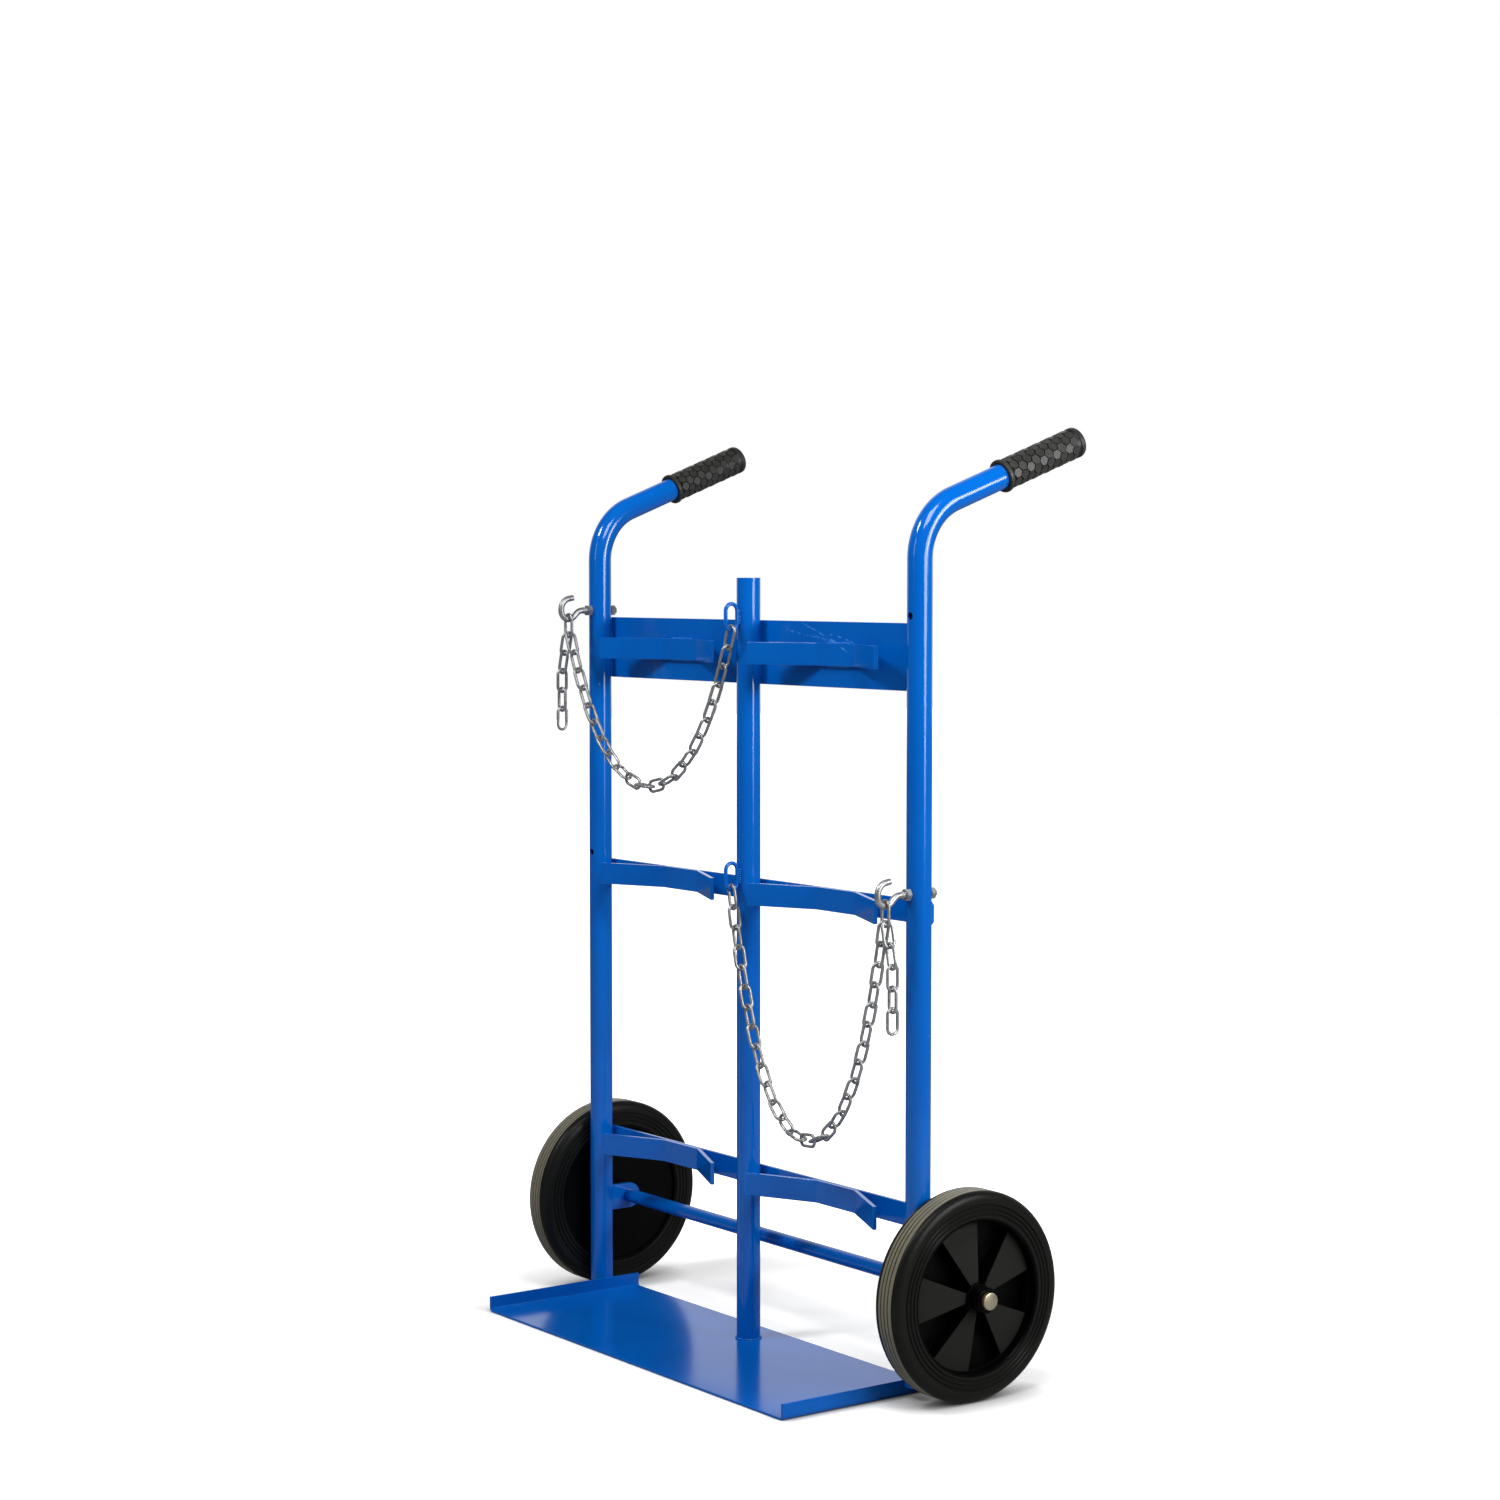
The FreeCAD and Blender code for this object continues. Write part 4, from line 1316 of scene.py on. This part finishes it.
@dataclass
class Running(Assembly):
    """Axle, lugs, spacers, caps and the two wheels."""

    finishes: Finishes
    axle_radius: float = 9.0
    axle_end: float = 417.1
    clearance: float = 0.1
    sides: int = 48
    lug_thickness: float = 6.0
    lug_radius: float = 17.0
    spacer: Flat = (340.2, 353.7)
    spacer_radius: float = 13.0
    cap: Flat = (414.3, 419.3)
    cap_radius: float = 10.5
    wheel_x: float = 354.0
    width: float = 43.0
    tyre_radius: float = 125.0
    tyre_bead: float = 93.1
    tyre_columns: int = 128
    shoulder: float = 9.5
    shoulder_drop: float = 13.0
    grooves: Triple = (0.36, 0.5, 0.64)
    groove_half: float = 1.0
    groove_floor: float = 0.6
    groove_depth: float = 1.7
    wall_rings: Triple = (98.0, 103.2, 108.4)
    ring_half: float = 1.9
    ring_floor: float = 0.7
    ring_depth: float = 1.8
    rim_radius: float = 93.0
    rim_bore: float = 90.0
    rim_clearance: float = 0.05
    web_inner: float = 5.0
    web_outer: float = 30.0
    web_crown: float = 41.0
    hub_radius: float = 15.0
    hub_end: float = 60.0
    pocket_floor: float = 16.0
    pocket_angle: float = 34.0
    pocket_turn: float = 4.0
    pocket_margin: float = 1.5
    fans: int = 5
    pocket_columns: int = 9
    fan_columns: int = 10
    seam: float = 0.0004

    def axle(self) -> None:
        """Build the axle, its lugs, spacers and caps."""
        r, end = self.axle_radius, self.axle_end
        bar = lathe([(0.0, -end), (r, -end), (r, end), (0.0, end)], self.sides)
        paint, zinc = self.finishes.paint, self.finishes.zinc
        self.make("axle_bar", moved(bar, along_axle(Side.RIGHT, 0.0)), paint, "blue_paint", "axle")
        lugs = joined(self.lug(side) for side in Side)
        self.make("axle_lug_plates", lugs, paint, "blue_paint", "axle_lugs", bevel=0.5)
        inner = self.axle_radius + self.clearance
        near, far = self.spacer
        ring = [(inner, near), (self.spacer_radius, near), (self.spacer_radius, far), (inner, far)]
        self.make("axle_spacer_rings", self.both(ring), zinc, "zinc", "axle_spacers", bevel=0.5)
        start, end = self.cap
        r = self.cap_radius
        cap = [(inner, start), (r, start), (r, end - 1.4), (r - 0.35, end - 0.5), (r - 1.2, end),
               (0.0, end), (0.0, end - 2.0), (inner, end - 2.0)]
        self.make("axle_end_caps", self.both(cap), self.finishes.cap, "zinc", "axle_caps")

    def both(self, profile: Sequence[Flat]) -> Shape:
        """A profile turned about the axle on both sides."""
        return joined(moved(lathe(profile, self.sides), along_axle(side, 0.0)) for side in Side)

    def lug(self, side: Side) -> Shape:
        """One lug: a plate with a round nose about the axle."""
        z, r = AXLE[1], self.lug_radius
        outline = [(TUBE_FACE, z - r), *arc(AXLE, (r, r), -90.0, 180.0, 24), (TUBE_FACE, z + r)]
        x = side.value * HALF_SPACING - self.lug_thickness / 2
        return prism(outline, self.lug_thickness, lambda u, v, w: Vector((x + w, u, v)))

    def tyre(self, side: Side) -> None:
        """Turn one tyre, with grooves in the tread and rings in the walls.

        Args:
            side: Which wheel.
        """
        top, w, s, drop = self.tyre_radius, self.width, self.shoulder, self.shoulder_drop
        tread: list[Flat] = []
        for z in (w * share for share in self.grooves):
            wide, floor = self.groove_half, top - self.groove_depth
            narrow = wide * self.groove_floor
            tread += [(top, z - wide), (floor, z - narrow), (floor, z + narrow), (top, z + wide)]
        shoulder = arc((top - drop, s), (drop, s), -90.0, 90.0, 10)
        wall: list[Flat] = [(self.tyre_bead, 0.6), (self.tyre_bead + 0.6, 0.0)]
        for r in self.wall_rings:
            wide, narrow, deep = self.ring_half, self.ring_floor, self.ring_depth
            wall += [(r - wide, 0.0), (r - narrow, deep), (r + narrow, deep), (r + wide, 0.0)]
        inner_half = wall + shoulder
        outer_half = [(r, w - z) for r, z in inner_half[::-1]]
        turned = lathe(inner_half + tread + outer_half, self.tyre_columns)
        shape = moved(turned, along_axle(side, self.wheel_x))
        self.make(f"{side.word}_tyre_rubber", shape, self.finishes.tyre, "tyre_rubber", f"{side.word}_tyre",
                  body=f"{side.word}_wheel", sharp=42.0)

    def rim(self, side: Side) -> None:
        """Build one moulded rim.

        Args:
            side: Which wheel.
        """
        bore = self.axle_radius + self.rim_clearance
        hub, ring, seat, end = self.hub_radius, self.rim_bore, self.rim_radius, self.hub_end
        near, far = hub + self.pocket_margin, ring - self.pocket_margin

        def cone(r: float) -> float:
            """Height of the fans at a radius."""
            return self.web_crown + (self.web_outer - self.web_crown) * (r - hub) / (ring - hub)

        def profile(pocket: bool) -> list[Flat]:
            """One column, through a fan or a pocket."""
            far_floor, near_floor = (self.pocket_floor,) * 2 if pocket else (cone(far), cone(near))
            return [
                (bore, 0.0), (hub, 0.0), (hub, self.web_inner), (ring, self.web_inner), (ring, 1.0),
                (seat, 1.0), (seat, self.width), (ring + 1.6, self.width), (ring, self.width - 2.0),
                (ring, cone(ring)), (far, cone(far)), (far - 0.01, far_floor), (near + 0.01, near_floor),
                (near, cone(near)), (hub, cone(hub)), (hub, end - 7.0), (hub - 0.9, end - 6.2),
                (hub - 0.9, end - 5.0), (hub, end - 4.2), (hub, end - 0.9), (hub - 0.7, end),
                (bore + 1.6, end), (bore, end - 1.0),
            ]

        columns, angles = [], []
        share = 2 * math.pi / self.fans
        half = math.radians(self.pocket_angle / 2)
        first = math.radians(-self.pocket_turn if side is Side.RIGHT else 180.0 - self.pocket_turn)
        gap = share - 2 * half
        pockets, fans = self.pocket_columns, self.fan_columns
        for middle in (first + i * share for i in range(self.fans)):
            columns += [profile(True)] * pockets + [profile(False)] * fans
            angles += [middle - half + 2 * half * k / (pockets - 1) for k in range(pockets)]
            start, width = middle + half + self.seam, gap - 2 * self.seam
            angles += [start + width * k / (fans - 1) for k in range(fans)]
        shape = moved(lathe_columns(columns, angles), along_axle(side, self.wheel_x))
        self.make(f"{side.word}_rim_moulding", shape, self.finishes.rim, "rim_plastic", f"{side.word}_rim",
                  body=f"{side.word}_wheel", bevel=0.7, segments=3, sharp=35.0)

    def build(self) -> None:
        """Build the axle and wheels."""
        self.axle()
        for side in Side:
            self.tyre(side)
            self.rim(side)


@dataclass
class ChainGear(Assembly):
    """Hook bolts, nuts, eyes and the two chains."""

    finishes: Finishes
    rod: float = 8.0
    tail: float = 25.0
    reach: float = 50.0
    ring: float = 11.5
    drop: float = 12.0
    mouth: float = 14.0
    hook_side: float = 2.0
    tip: float = 7.0
    tip_rise: float = 10.0
    nut_width: float = 13.0
    nut_height: float = 6.5
    nut_round: float = 1.01
    nut_chamfer: float = 0.58
    clearance: float = 0.1
    thread_spans: tuple[Flat, Flat] = ((-27.5, -22.2), (22.2, 24.6))
    thread_pitch: float = 1.25
    thread_ridge: float = 0.42
    eye_height: float = 38.0
    eye_depth: float = 22.5
    eye_wire: float = 5.0
    wire: float = 4.0
    link_length: float = 26.0
    link_width: float = 10.0
    play: float = 0.8
    loose_links: int = 5
    leaning_links: int = 2
    loose_lean: float = 14.0
    rod_sides: int = 24
    eye_sides: int = 20
    wire_sides: int = 16
    bow_steps: int = 8
    bow_share: float = 0.4999
    nut_columns: int = 48
    ridge_sides: int = 6
    steepest: float = 20.0
    settling: int = 10

    def hook(self, side: Side) -> Shape:
        """One hook bolt's bar."""
        shank = self.tail + self.reach - self.ring * math.sqrt(2) - self.drop * math.tan(math.pi / 8)
        moves = [
            (shank, 0.0),
            (self.drop, 45.0),
            (self.slant(), 0.0),
            (self.ring, -135.0),
            (self.hook_side, 0.0),
            (self.mouth, self.tip_rise - 90.0),
            (self.tip, 0.0),
        ]
        flat = walk((self.tail, 0.0), 180.0, moves, step=5.0)
        x, level = side.value * HALF_SPACING, BAYS[side].hook
        path = [Vector((x, u, level + v)) for u, v in flat]
        return sweep(path, RIGHTWARDS, self.rod / 2, self.rod_sides)

    def slant(self) -> float:
        """Length of the straight between a hook's drop and its ring."""
        start = (-self.reach + self.ring * math.sqrt(2), 0.0)
        left = -self.reach - self.ring
        end = (left, -self.ring * (1 + math.sqrt(2)))
        whole = math.hypot(start[0] - end[0], start[1] - end[1])
        return whole - self.drop * math.tan(math.pi / 8) - self.ring * math.tan(math.radians(67.5))

    def thread(self) -> bpy.types.Object:
        """Rings of thread on both shanks, front and back of the nuts."""
        tree = Pattern("hook_thread", {"Radius": self.rod / 2 * MM, "Ridge": self.thread_ridge * MM})
        shank = tree.circle(self.rod_sides, tree.source["Radius"])
        ridge = tree.circle(self.ridge_sides, tree.source["Ridge"])
        tree.spread(tree.bar(shank, ridge), "Z", "X", self.finishes.zinc)
        spots: list[Spot] = []
        for side in Side:
            x, level = side.value * HALF_SPACING, BAYS[side].hook
            for low, high in self.thread_spans:
                for k in range(int((high - low) / self.thread_pitch) + 1):
                    place = Vector((x, low + self.thread_pitch * k, level))
                    spots.append((place, BACKWARDS, RIGHTWARDS))
        return tree.piece(self, "hook_thread", spots)

    def nut(self, side: Side, end: int) -> Shape:
        """A hexagon nut with chamfered corners against an upright."""
        bottom, top = TUBE_FACE, TUBE_FACE + self.nut_height
        flat, bore = self.nut_width / 2, self.rod / 2 + self.clearance
        waist = flat * self.nut_round
        columns, angles = [], []
        for i in range(self.nut_columns):
            angle = 2 * math.pi * i / self.nut_columns
            fold = (angle + math.pi / 6) % (math.pi / 3) - math.pi / 6
            r = flat / math.cos(math.pi / 6 - abs(fold))
            cut = max(0.0, r - waist) * self.nut_chamfer
            edge = min(r, waist)
            columns.append([(bore, bottom), (edge, bottom), (r, bottom + cut), (r, top - cut), (edge, top),
                            (bore + 0.6, top), (bore, top - 0.5)])
            angles.append(angle)
        place = Vector((side.value * HALF_SPACING, 0.0, BAYS[side].hook))
        matrix = axes(RIGHTWARDS, UP * -end, BACKWARDS * end, place)
        return moved(lathe_columns(columns, angles), matrix)

    def eye(self, side: Side) -> Shape:
        """One oval eye on the post."""
        bow = (self.eye_depth - self.eye_wire) / 2
        leg = (self.eye_height - self.eye_wire) - 2 * bow
        centre = -TUBE_FACE - self.eye_depth / 2
        moves = [(leg, 0.0), (bow, 180.0)] * 2
        flat = walk((bow, -leg / 2), 90.0, moves, step=10.0)[:-1]
        path = [Vector((0, centre + u, BAYS[side].eye + v)) for u, v in flat]
        return sweep(path, RIGHTWARDS, self.eye_wire / 2, self.eye_sides, closed=True)

    def hang(self, span: float, rise: float, lengths: Sequence[float]) -> list[float]:
        """Slopes of links that hang across a span.

        Args:
            span: The level distance between the ends.
            rise: How much higher the far end is.
            lengths: The links' lengths.

        Returns:
            Each link's slope, in radians.
        """
        def slopes(start: float, step: float) -> list[float]:
            """Slopes for a first tangent and its growth per link."""
            return [math.atan(start + step * i) for i in range(len(lengths))]

        def total(function: Callable[[float], float], angles: list[float]) -> float:
            """Level or upright extent of the links."""
            return sum(length * function(a) for length, a in zip(lengths, angles))

        def first(step: float) -> float:
            """The first tangent that ends at the right height."""
            low = -step * len(lengths) - self.steepest
            return last_below(low, self.steepest, lambda start: total(math.sin, slopes(start, step)) < rise)

        growth = last_below(0.0, self.steepest,
                            lambda step: total(math.cos, slopes(first(step), step)) > span)
        return slopes(first(growth), growth)

    def link_spots(self, side: Side) -> tuple[list[Spot], list[Spot]]:
        """Where a chain's links hang.

        Args:
            side: Which bay.

        Returns:
            (place, long axis, width axis) of each link of the chain, and of its loose end.
        """
        wire, length, play = self.wire / 2, self.link_length, self.play
        bow = (self.link_width + self.wire) / 2
        eye = Vector((0, -TUBE_FACE - self.eye_depth / 2,
                      BAYS[side].eye - self.eye_height / 2 + self.eye_wire / 2))
        seat = self.ring - self.rod / 2 - play / 2 - wire
        top = Vector((side.value * HALF_SPACING, -self.reach, BAYS[side].hook - seat))
        bow_centre = top - UP * (length + 2 * wire - bow)
        flat = Vector((top.x - eye.x, top.y - eye.y, 0.0)).normalized()
        across = UP.cross(flat)
        inner = bow - 2 * wire - play / 2
        share = math.asin((2 * wire + play / 2) / (2 * inner))
        aside, below = flat * (inner * math.sin(share)), UP * (inner * math.cos(share))
        far_end, loose_top = bow_centre - aside - below, bow_centre + aside - below
        count = BAYS[side].links
        end_length = length - play / 2 + wire
        lengths = [end_length] + [length - play] * (count - 2) + [end_length]
        lift = self.eye_wire / 2 + wire + play / 2
        start = eye + UP * lift
        slopes: list[float] = []
        for _ in range(self.settling):
            gap = far_end - start
            slopes = self.hang(math.hypot(gap.x, gap.y), gap.z, lengths)
            start = eye - (flat * math.cos(slopes[0]) + UP * math.sin(slopes[0])) * lift
        chain, here = [], start
        nudge = wire / 2 - play / 4
        for i, (slope, step) in enumerate(zip(slopes, lengths)):
            along = flat * math.cos(slope) + UP * math.sin(slope)
            after = here + along * step
            shift = {0: -nudge, count - 1: nudge}.get(i, 0.0)
            width = across if i % 2 else along.cross(across)
            chain.append(((here + after) / 2 - along * shift, along, width))
            here = after
        reach = length / 2 + wire
        chain.append((top - UP * reach, -UP, flat))
        loose, here = [], loose_top
        for i in range(self.loose_links):
            lean = math.radians(self.loose_lean) if i < self.leaning_links else 0.0
            along = flat * math.sin(lean) - UP * math.cos(lean)
            middle = here + along * (reach if i == 0 else (length - play) / 2)
            here = middle + along * ((length - play) / 2)
            loose.append((middle, along, along.cross(across) if i % 2 else across))
        return chain, loose

    def link_tree(self, name: str) -> Pattern:
        """The tree that sets a round-wire link on each point.

        Args:
            name: The tree's name.

        Returns:
            The tree.
        """
        sizes = {"Wire": self.wire, "Length": self.link_length, "Width": self.link_width}
        tree = Pattern(name, {key: size * MM for key, size in sizes.items()})
        wire = tree.source["Wire"]
        long = tree.maths("ADD", tree.source["Length"], wire)
        wide = tree.maths("ADD", tree.source["Width"], wire)
        frame = tree.node("GeometryNodeCurvePrimitiveQuadrilateral", {"mode": "RECTANGLE"},
                          {"Width": long, "Height": wide})
        oval = tree.node("GeometryNodeFilletCurve", {"mode": "POLY"}, {
            "Curve": frame.outputs[0], "Count": self.bow_steps, "Limit Radius": True,
            "Radius": tree.maths("MULTIPLY", wide, self.bow_share)})
        section = tree.circle(self.wire_sides, tree.maths("MULTIPLY", wire, 0.5))
        tree.spread(tree.bar(oval.outputs[0], section), "X", "Y", self.finishes.zinc)
        return tree

    def build(self) -> None:
        """Build the hooks, nuts, eyes and chains."""
        zinc = self.finishes.zinc
        bolts = joined(self.hook(side) for side in Side)
        self.make("hook_bolt_bars", bolts, zinc, "zinc", "hook_bolts", bevel=0.5)
        self.fit(self.thread(), "frame", "zinc")
        nuts = joined(self.nut(side, end) for side in Side for end in (-1, 1))
        self.make("hook_bolt_nuts", nuts, zinc, "zinc", "hook_nuts", sharp=25.0)
        eyes = joined(self.eye(side) for side in Side)
        self.make("chain_eye_bars", eyes, self.finishes.paint, "blue_paint", "chain_eyes")
        for side in Side:
            chain, loose = self.link_spots(side)
            for name, spots in ((f"{side.word}_chain", chain), (f"{side.word}_chain_tail", loose)):
                piece = self.link_tree(f"{name}_links").piece(self, f"{name}_links", spots)
                self.fit(piece, name, "zinc", name)


@dataclass
class Welds(Assembly):
    """Painted weld beads where the frame's pieces meet."""

    finishes: Finishes
    bead: float = 1.7
    pitch: float = 2.1
    plate_half: float = 40.0
    bar_half: float = 14.0
    margin: float = 3.0
    bar_seam: Flat = (4.6, 14.6)
    saddle_seam: Triple = (165.0, 20.0, 14.4)
    eye_seam: Triple = (2.4, -15.4, 8.0)
    lug_seam: Flat = (3.1, 14.9)
    lug_levels: Flat = (110.0, 140.0)
    post_beads: int = 42
    post_ring: Flat = (15.2, 3.4)
    flange_seam: Flat = (15.0, 3.2)
    flange_levels: Flat = (15.5, 19.0)
    vary: float = 0.22
    seed: int = 11

    def seam(self, start: Vector, end: Vector, out: Vector) -> list[Spot]:
        """Beads along a straight seam.

        Args:
            start: One end.
            end: The other end.
            out: The way the bead faces.

        Returns:
            (place, facing, run) of each bead.
        """
        run = end - start
        count = max(2, int(run.length / self.pitch))
        return [(start + run * (i / (count - 1)), out.normalized(), run.normalized()) for i in range(count)]

    def rise(self, x: float, y: float, low: float, high: float, out: Triple) -> list[Spot]:
        """Beads along an upright seam at a place, facing out."""
        return self.seam(Vector((x, y, low)), Vector((x, y, high)), Vector(out))

    def bars(self) -> Iterator[list[Spot]]:
        """Seams where the plate and bars cross the tubes, and of the upper saddles."""
        aside, depth = self.bar_seam
        halves = {Level.UPPER: self.plate_half, Level.MIDDLE: self.bar_half, Level.LOWER: self.bar_half}
        for x in (-HALF_SPACING, 0.0, HALF_SPACING):
            for level, half in halves.items():
                low, high = level.value - half + self.margin, level.value + half - self.margin
                for sign in (-1, 1):
                    if x * sign <= 0 or level is not Level.UPPER:
                        yield self.rise(x + sign * aside, depth, low, high, (sign * 0.7, -0.7, 0))
        centre, half, depth = self.saddle_seam
        for x in (-centre, centre):
            for sign in (-1, 1):
                start = Vector((x - half, depth, Level.UPPER.value + sign * self.bar_half))
                yield self.seam(start, start + RIGHTWARDS * (2 * half), Vector((0, -0.5, sign)))

    def fittings(self) -> Iterator[list[Spot]]:
        """Seams of the eyes, the lugs, the post's foot and the uprights' feet."""
        aside, depth, half = self.eye_seam
        for level in (bay.eye for bay in BAYS.values()):
            for sign in (-1, 1):
                yield self.rise(sign * aside, depth, level - half, level + half, (sign * 0.8, -0.6, 0))
        aside, depth = self.lug_seam
        for sign in (-1, 1):
            for end in (-1, 1):
                x = sign * HALF_SPACING + end * aside
                yield self.rise(x, depth, *self.lug_levels, (end, 0.3, 0))
        radius, level = self.post_ring
        for i in range(self.post_beads):
            angle = 2 * math.pi * i / self.post_beads
            out = Vector((math.cos(angle), math.sin(angle), 0))
            yield [(out * radius + UP * level, (out + UP).normalized(), UP.cross(out))]
        inward, aside = self.flange_seam
        for sign in (-1, 1):
            for end in (-1, 1):
                x = sign * (HALF_SPACING - inward)
                yield self.rise(x, end * aside, *self.flange_levels, (-sign * 0.2, end, 0))

    def build(self) -> None:
        """Build the beads."""
        tree = Pattern("weld_beads", {"Bead": self.bead * MM})
        ball = tree.node("GeometryNodeMeshIcoSphere", None,
                         {"Radius": tree.source["Bead"], "Subdivisions": 2})
        tree.spread(ball.outputs[0], "Z", "X", self.finishes.weld_paint, vary=self.vary, seed=self.seed)
        spots = [spot for seam in (*self.bars(), *self.fittings()) for spot in seam]
        self.fit(tree.piece(self, "weld_beads", spots), "frame", "blue_paint")


# Stage


@dataclass(frozen=True)
class Lamp:
    """A soft rectangular lamp: its place, aim and size in metres, its power, and its roll in degrees."""

    name: str
    place: Triple
    target: Triple
    size: Flat
    watts: float
    roll: float = 0.0

    def hang(self) -> None:
        """Add the lamp to the scene."""
        data = bpy.data.lights.new(self.name, "AREA")
        data.shape = "RECTANGLE"
        data.size, data.size_y = self.size
        data.energy = self.watts
        lamp = bpy.data.objects.new(self.name, data)
        lamp.location = self.place
        facing = (Vector(self.target) - Vector(self.place)).to_track_quat("-Z", "Y").to_matrix()
        lamp.rotation_euler = (facing @ Matrix.Rotation(math.radians(self.roll), 3, "Z")).to_euler()
        bpy.context.scene.collection.objects.link(lamp)


LAMPS = (
    Lamp("key_softbox", (-0.4, -1.8, 2.6), (0.0, 0.0, 0.5), (0.5, 0.5), 35.0),
    Lamp("top_softbox", (1.0, -0.5, 1.95), (0.3, 0.0, 0.9), (0.6, 0.6), 14.0),
    Lamp("right_strip", (2.228, 0.651, 1.17), (0.337, 0.0, 1.17), (0.72, 1.3), 32.0, roll=-45.0),
    Lamp("handle_strip", (1.735, 0.894, 1.2), (0.34, 0.12, 1.09), (0.6, 0.38), 9.0),
    Lamp("front_strip", (0.04, -2.8, 1.7), (0.2, 0.0, 0.8), (0.35, 1.2), 6.0),
)


@dataclass
class Studio:
    """White floor and backdrop, soft lamps and the camera."""

    eye: Triple = (3.06407, -2.23939, 0.96950)
    azimuth: float = 53.81
    pitch: float = -3.32
    focal_pixels: float = 3032.66
    frame_pixels: float = 1500.0
    sensor: float = 36.0
    fill: float = 0.19
    room: float = 0.03
    wall_edge: Flat = (0.35, 0.9)
    floor_lift: float = 0.30
    floor_fade: Flat = (0.38, 0.72)
    floor_reach: float = 14.0
    floor_white: Colour = (0.93, 0.93, 0.93)
    floor_dim: Colour = (0.42, 0.42, 0.42)
    # Reach and samples of the floor's painted contact shadow.
    contact_reach: float = 0.045
    contact_samples: int = 16

    def camera(self) -> None:
        """Set the camera at the photograph's place."""
        data = bpy.data.cameras.new("camera")
        data.sensor_width = self.sensor
        data.sensor_fit = "HORIZONTAL"
        data.lens = self.sensor * self.focal_pixels / self.frame_pixels
        data.clip_end = 100.0
        camera = bpy.data.objects.new("camera", data)
        camera.location = self.eye
        camera.rotation_euler = (math.radians(90.0 + self.pitch), 0.0, math.radians(self.azimuth))
        bpy.context.scene.collection.objects.link(camera)
        bpy.context.scene.camera = camera

    def world(self) -> None:
        """A white backdrop. Gloss shows it white behind the object and dim around the camera."""
        world = bpy.data.worlds.new("studio")
        world.use_nodes = True
        bpy.context.scene.world = world
        graph = Graph(world.node_tree)
        path = graph.node("ShaderNodeLightPath").outputs
        plain = graph.maths("MAXIMUM", path["Is Camera Ray"], path["Is Transmission Ray"])
        seen = graph.maths("MAXIMUM", plain, path["Is Glossy Ray"])
        behind = math.radians(self.azimuth + 90.0)
        facing = graph.node("ShaderNodeVectorMath", {"operation": "DOT_PRODUCT"}, {
            0: graph.node("ShaderNodeTexCoord").outputs["Generated"],
            1: (math.cos(behind), math.sin(behind), 0.0)})
        start, end = self.wall_edge
        wall = graph.node("ShaderNodeMapRange", {"interpolation_type": "SMOOTHSTEP"}, {
            "Value": facing.outputs["Value"], "From Min": start, "From Max": end,
            "To Min": self.room, "To Max": 1.0})
        shade = graph.maths("MAXIMUM", plain, wall.outputs[0])
        soft, white = (
            graph.node("ShaderNodeBackground", None, {"Color": WHITE, "Strength": strength}).outputs[0]
            for strength in (self.fill, shade))
        both = graph.node("ShaderNodeMixShader", None, {0: seen, 1: soft, 2: white})
        graph.node("ShaderNodeOutputWorld", None, {"Surface": both.outputs[0]})

    def floor(self) -> None:
        """A plain white floor that keeps the object's shadow and fades into the backdrop, with a painted
        contact shadow from an occlusion term near the object.
        """
        graph = ShaderGraph("floor")
        glow = self.floor_lift + graph.away("X", "Y").above(*self.floor_fade)
        dim, matte, painted_shadow = (
            graph.node("ShaderNodeBsdfDiffuse", None, {"Color": colour}).outputs[0]
            for colour in (self.floor_dim, self.floor_white, BLACK))
        lift = graph.node("ShaderNodeEmission", None, {"Color": glow, "Strength": 1.0}).outputs[0]
        both = graph.node("ShaderNodeAddShader", None, {0: matte, 1: lift}).outputs[0]
        # Painted contact shadow: where the occlusion term closes, a dark diffuse is mixed into the floor.
        clear_of_painted_shadow = graph.node("ShaderNodeAmbientOcclusion", {"samples": self.contact_samples},
                         {"Distance": self.contact_reach}).outputs["AO"]
        both = graph.node("ShaderNodeMixShader", None, {0: clear_of_painted_shadow, 1: painted_shadow, 2: both}).outputs[0]
        path = graph.node("ShaderNodeLightPath").outputs
        seen = graph.maths("MAXIMUM", path["Is Camera Ray"], path["Is Transmission Ray"])
        pick = graph.node("ShaderNodeMixShader", None, {0: seen, 1: dim, 2: both}).outputs[0]
        graph.node("ShaderNodeOutputMaterial", None, {"Surface": pick})
        data = bpy.data.meshes.new("floor")
        reach = self.floor_reach
        corners = [(-reach, -reach, 0), (reach, -reach, 0), (reach, reach, 0), (-reach, reach, 0)]
        data.from_pydata(corners, [], [(0, 1, 2, 3)])
        data.materials.append(graph.material)
        floor = bpy.data.objects.new("floor", data)
        bpy.context.scene.collection.objects.link(floor)

    def build(self) -> None:
        """Set the stage."""
        bpy.context.scene.view_settings.view_transform = "Standard"
        self.camera()
        self.world()
        self.floor()
        for lamp in LAMPS:
            lamp.hang()


def main() -> None:
    """Build the trolley's pieces in order and set the stage."""
    logging.basicConfig(level=logging.INFO, format="%(name)s: %(message)s")
    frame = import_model()
    finishes = Finishes()
    tubes = TubeFrame(finishes)
    assemblies = (tubes, Grips(finishes, tubes), CrossMembers(finishes), FootPlate(finishes),
                  Running(finishes), ChainGear(finishes), Welds(finishes))
    for assembly in assemblies:
        assembly.build()
    Studio().build()


if __name__ == "__main__":
    main()
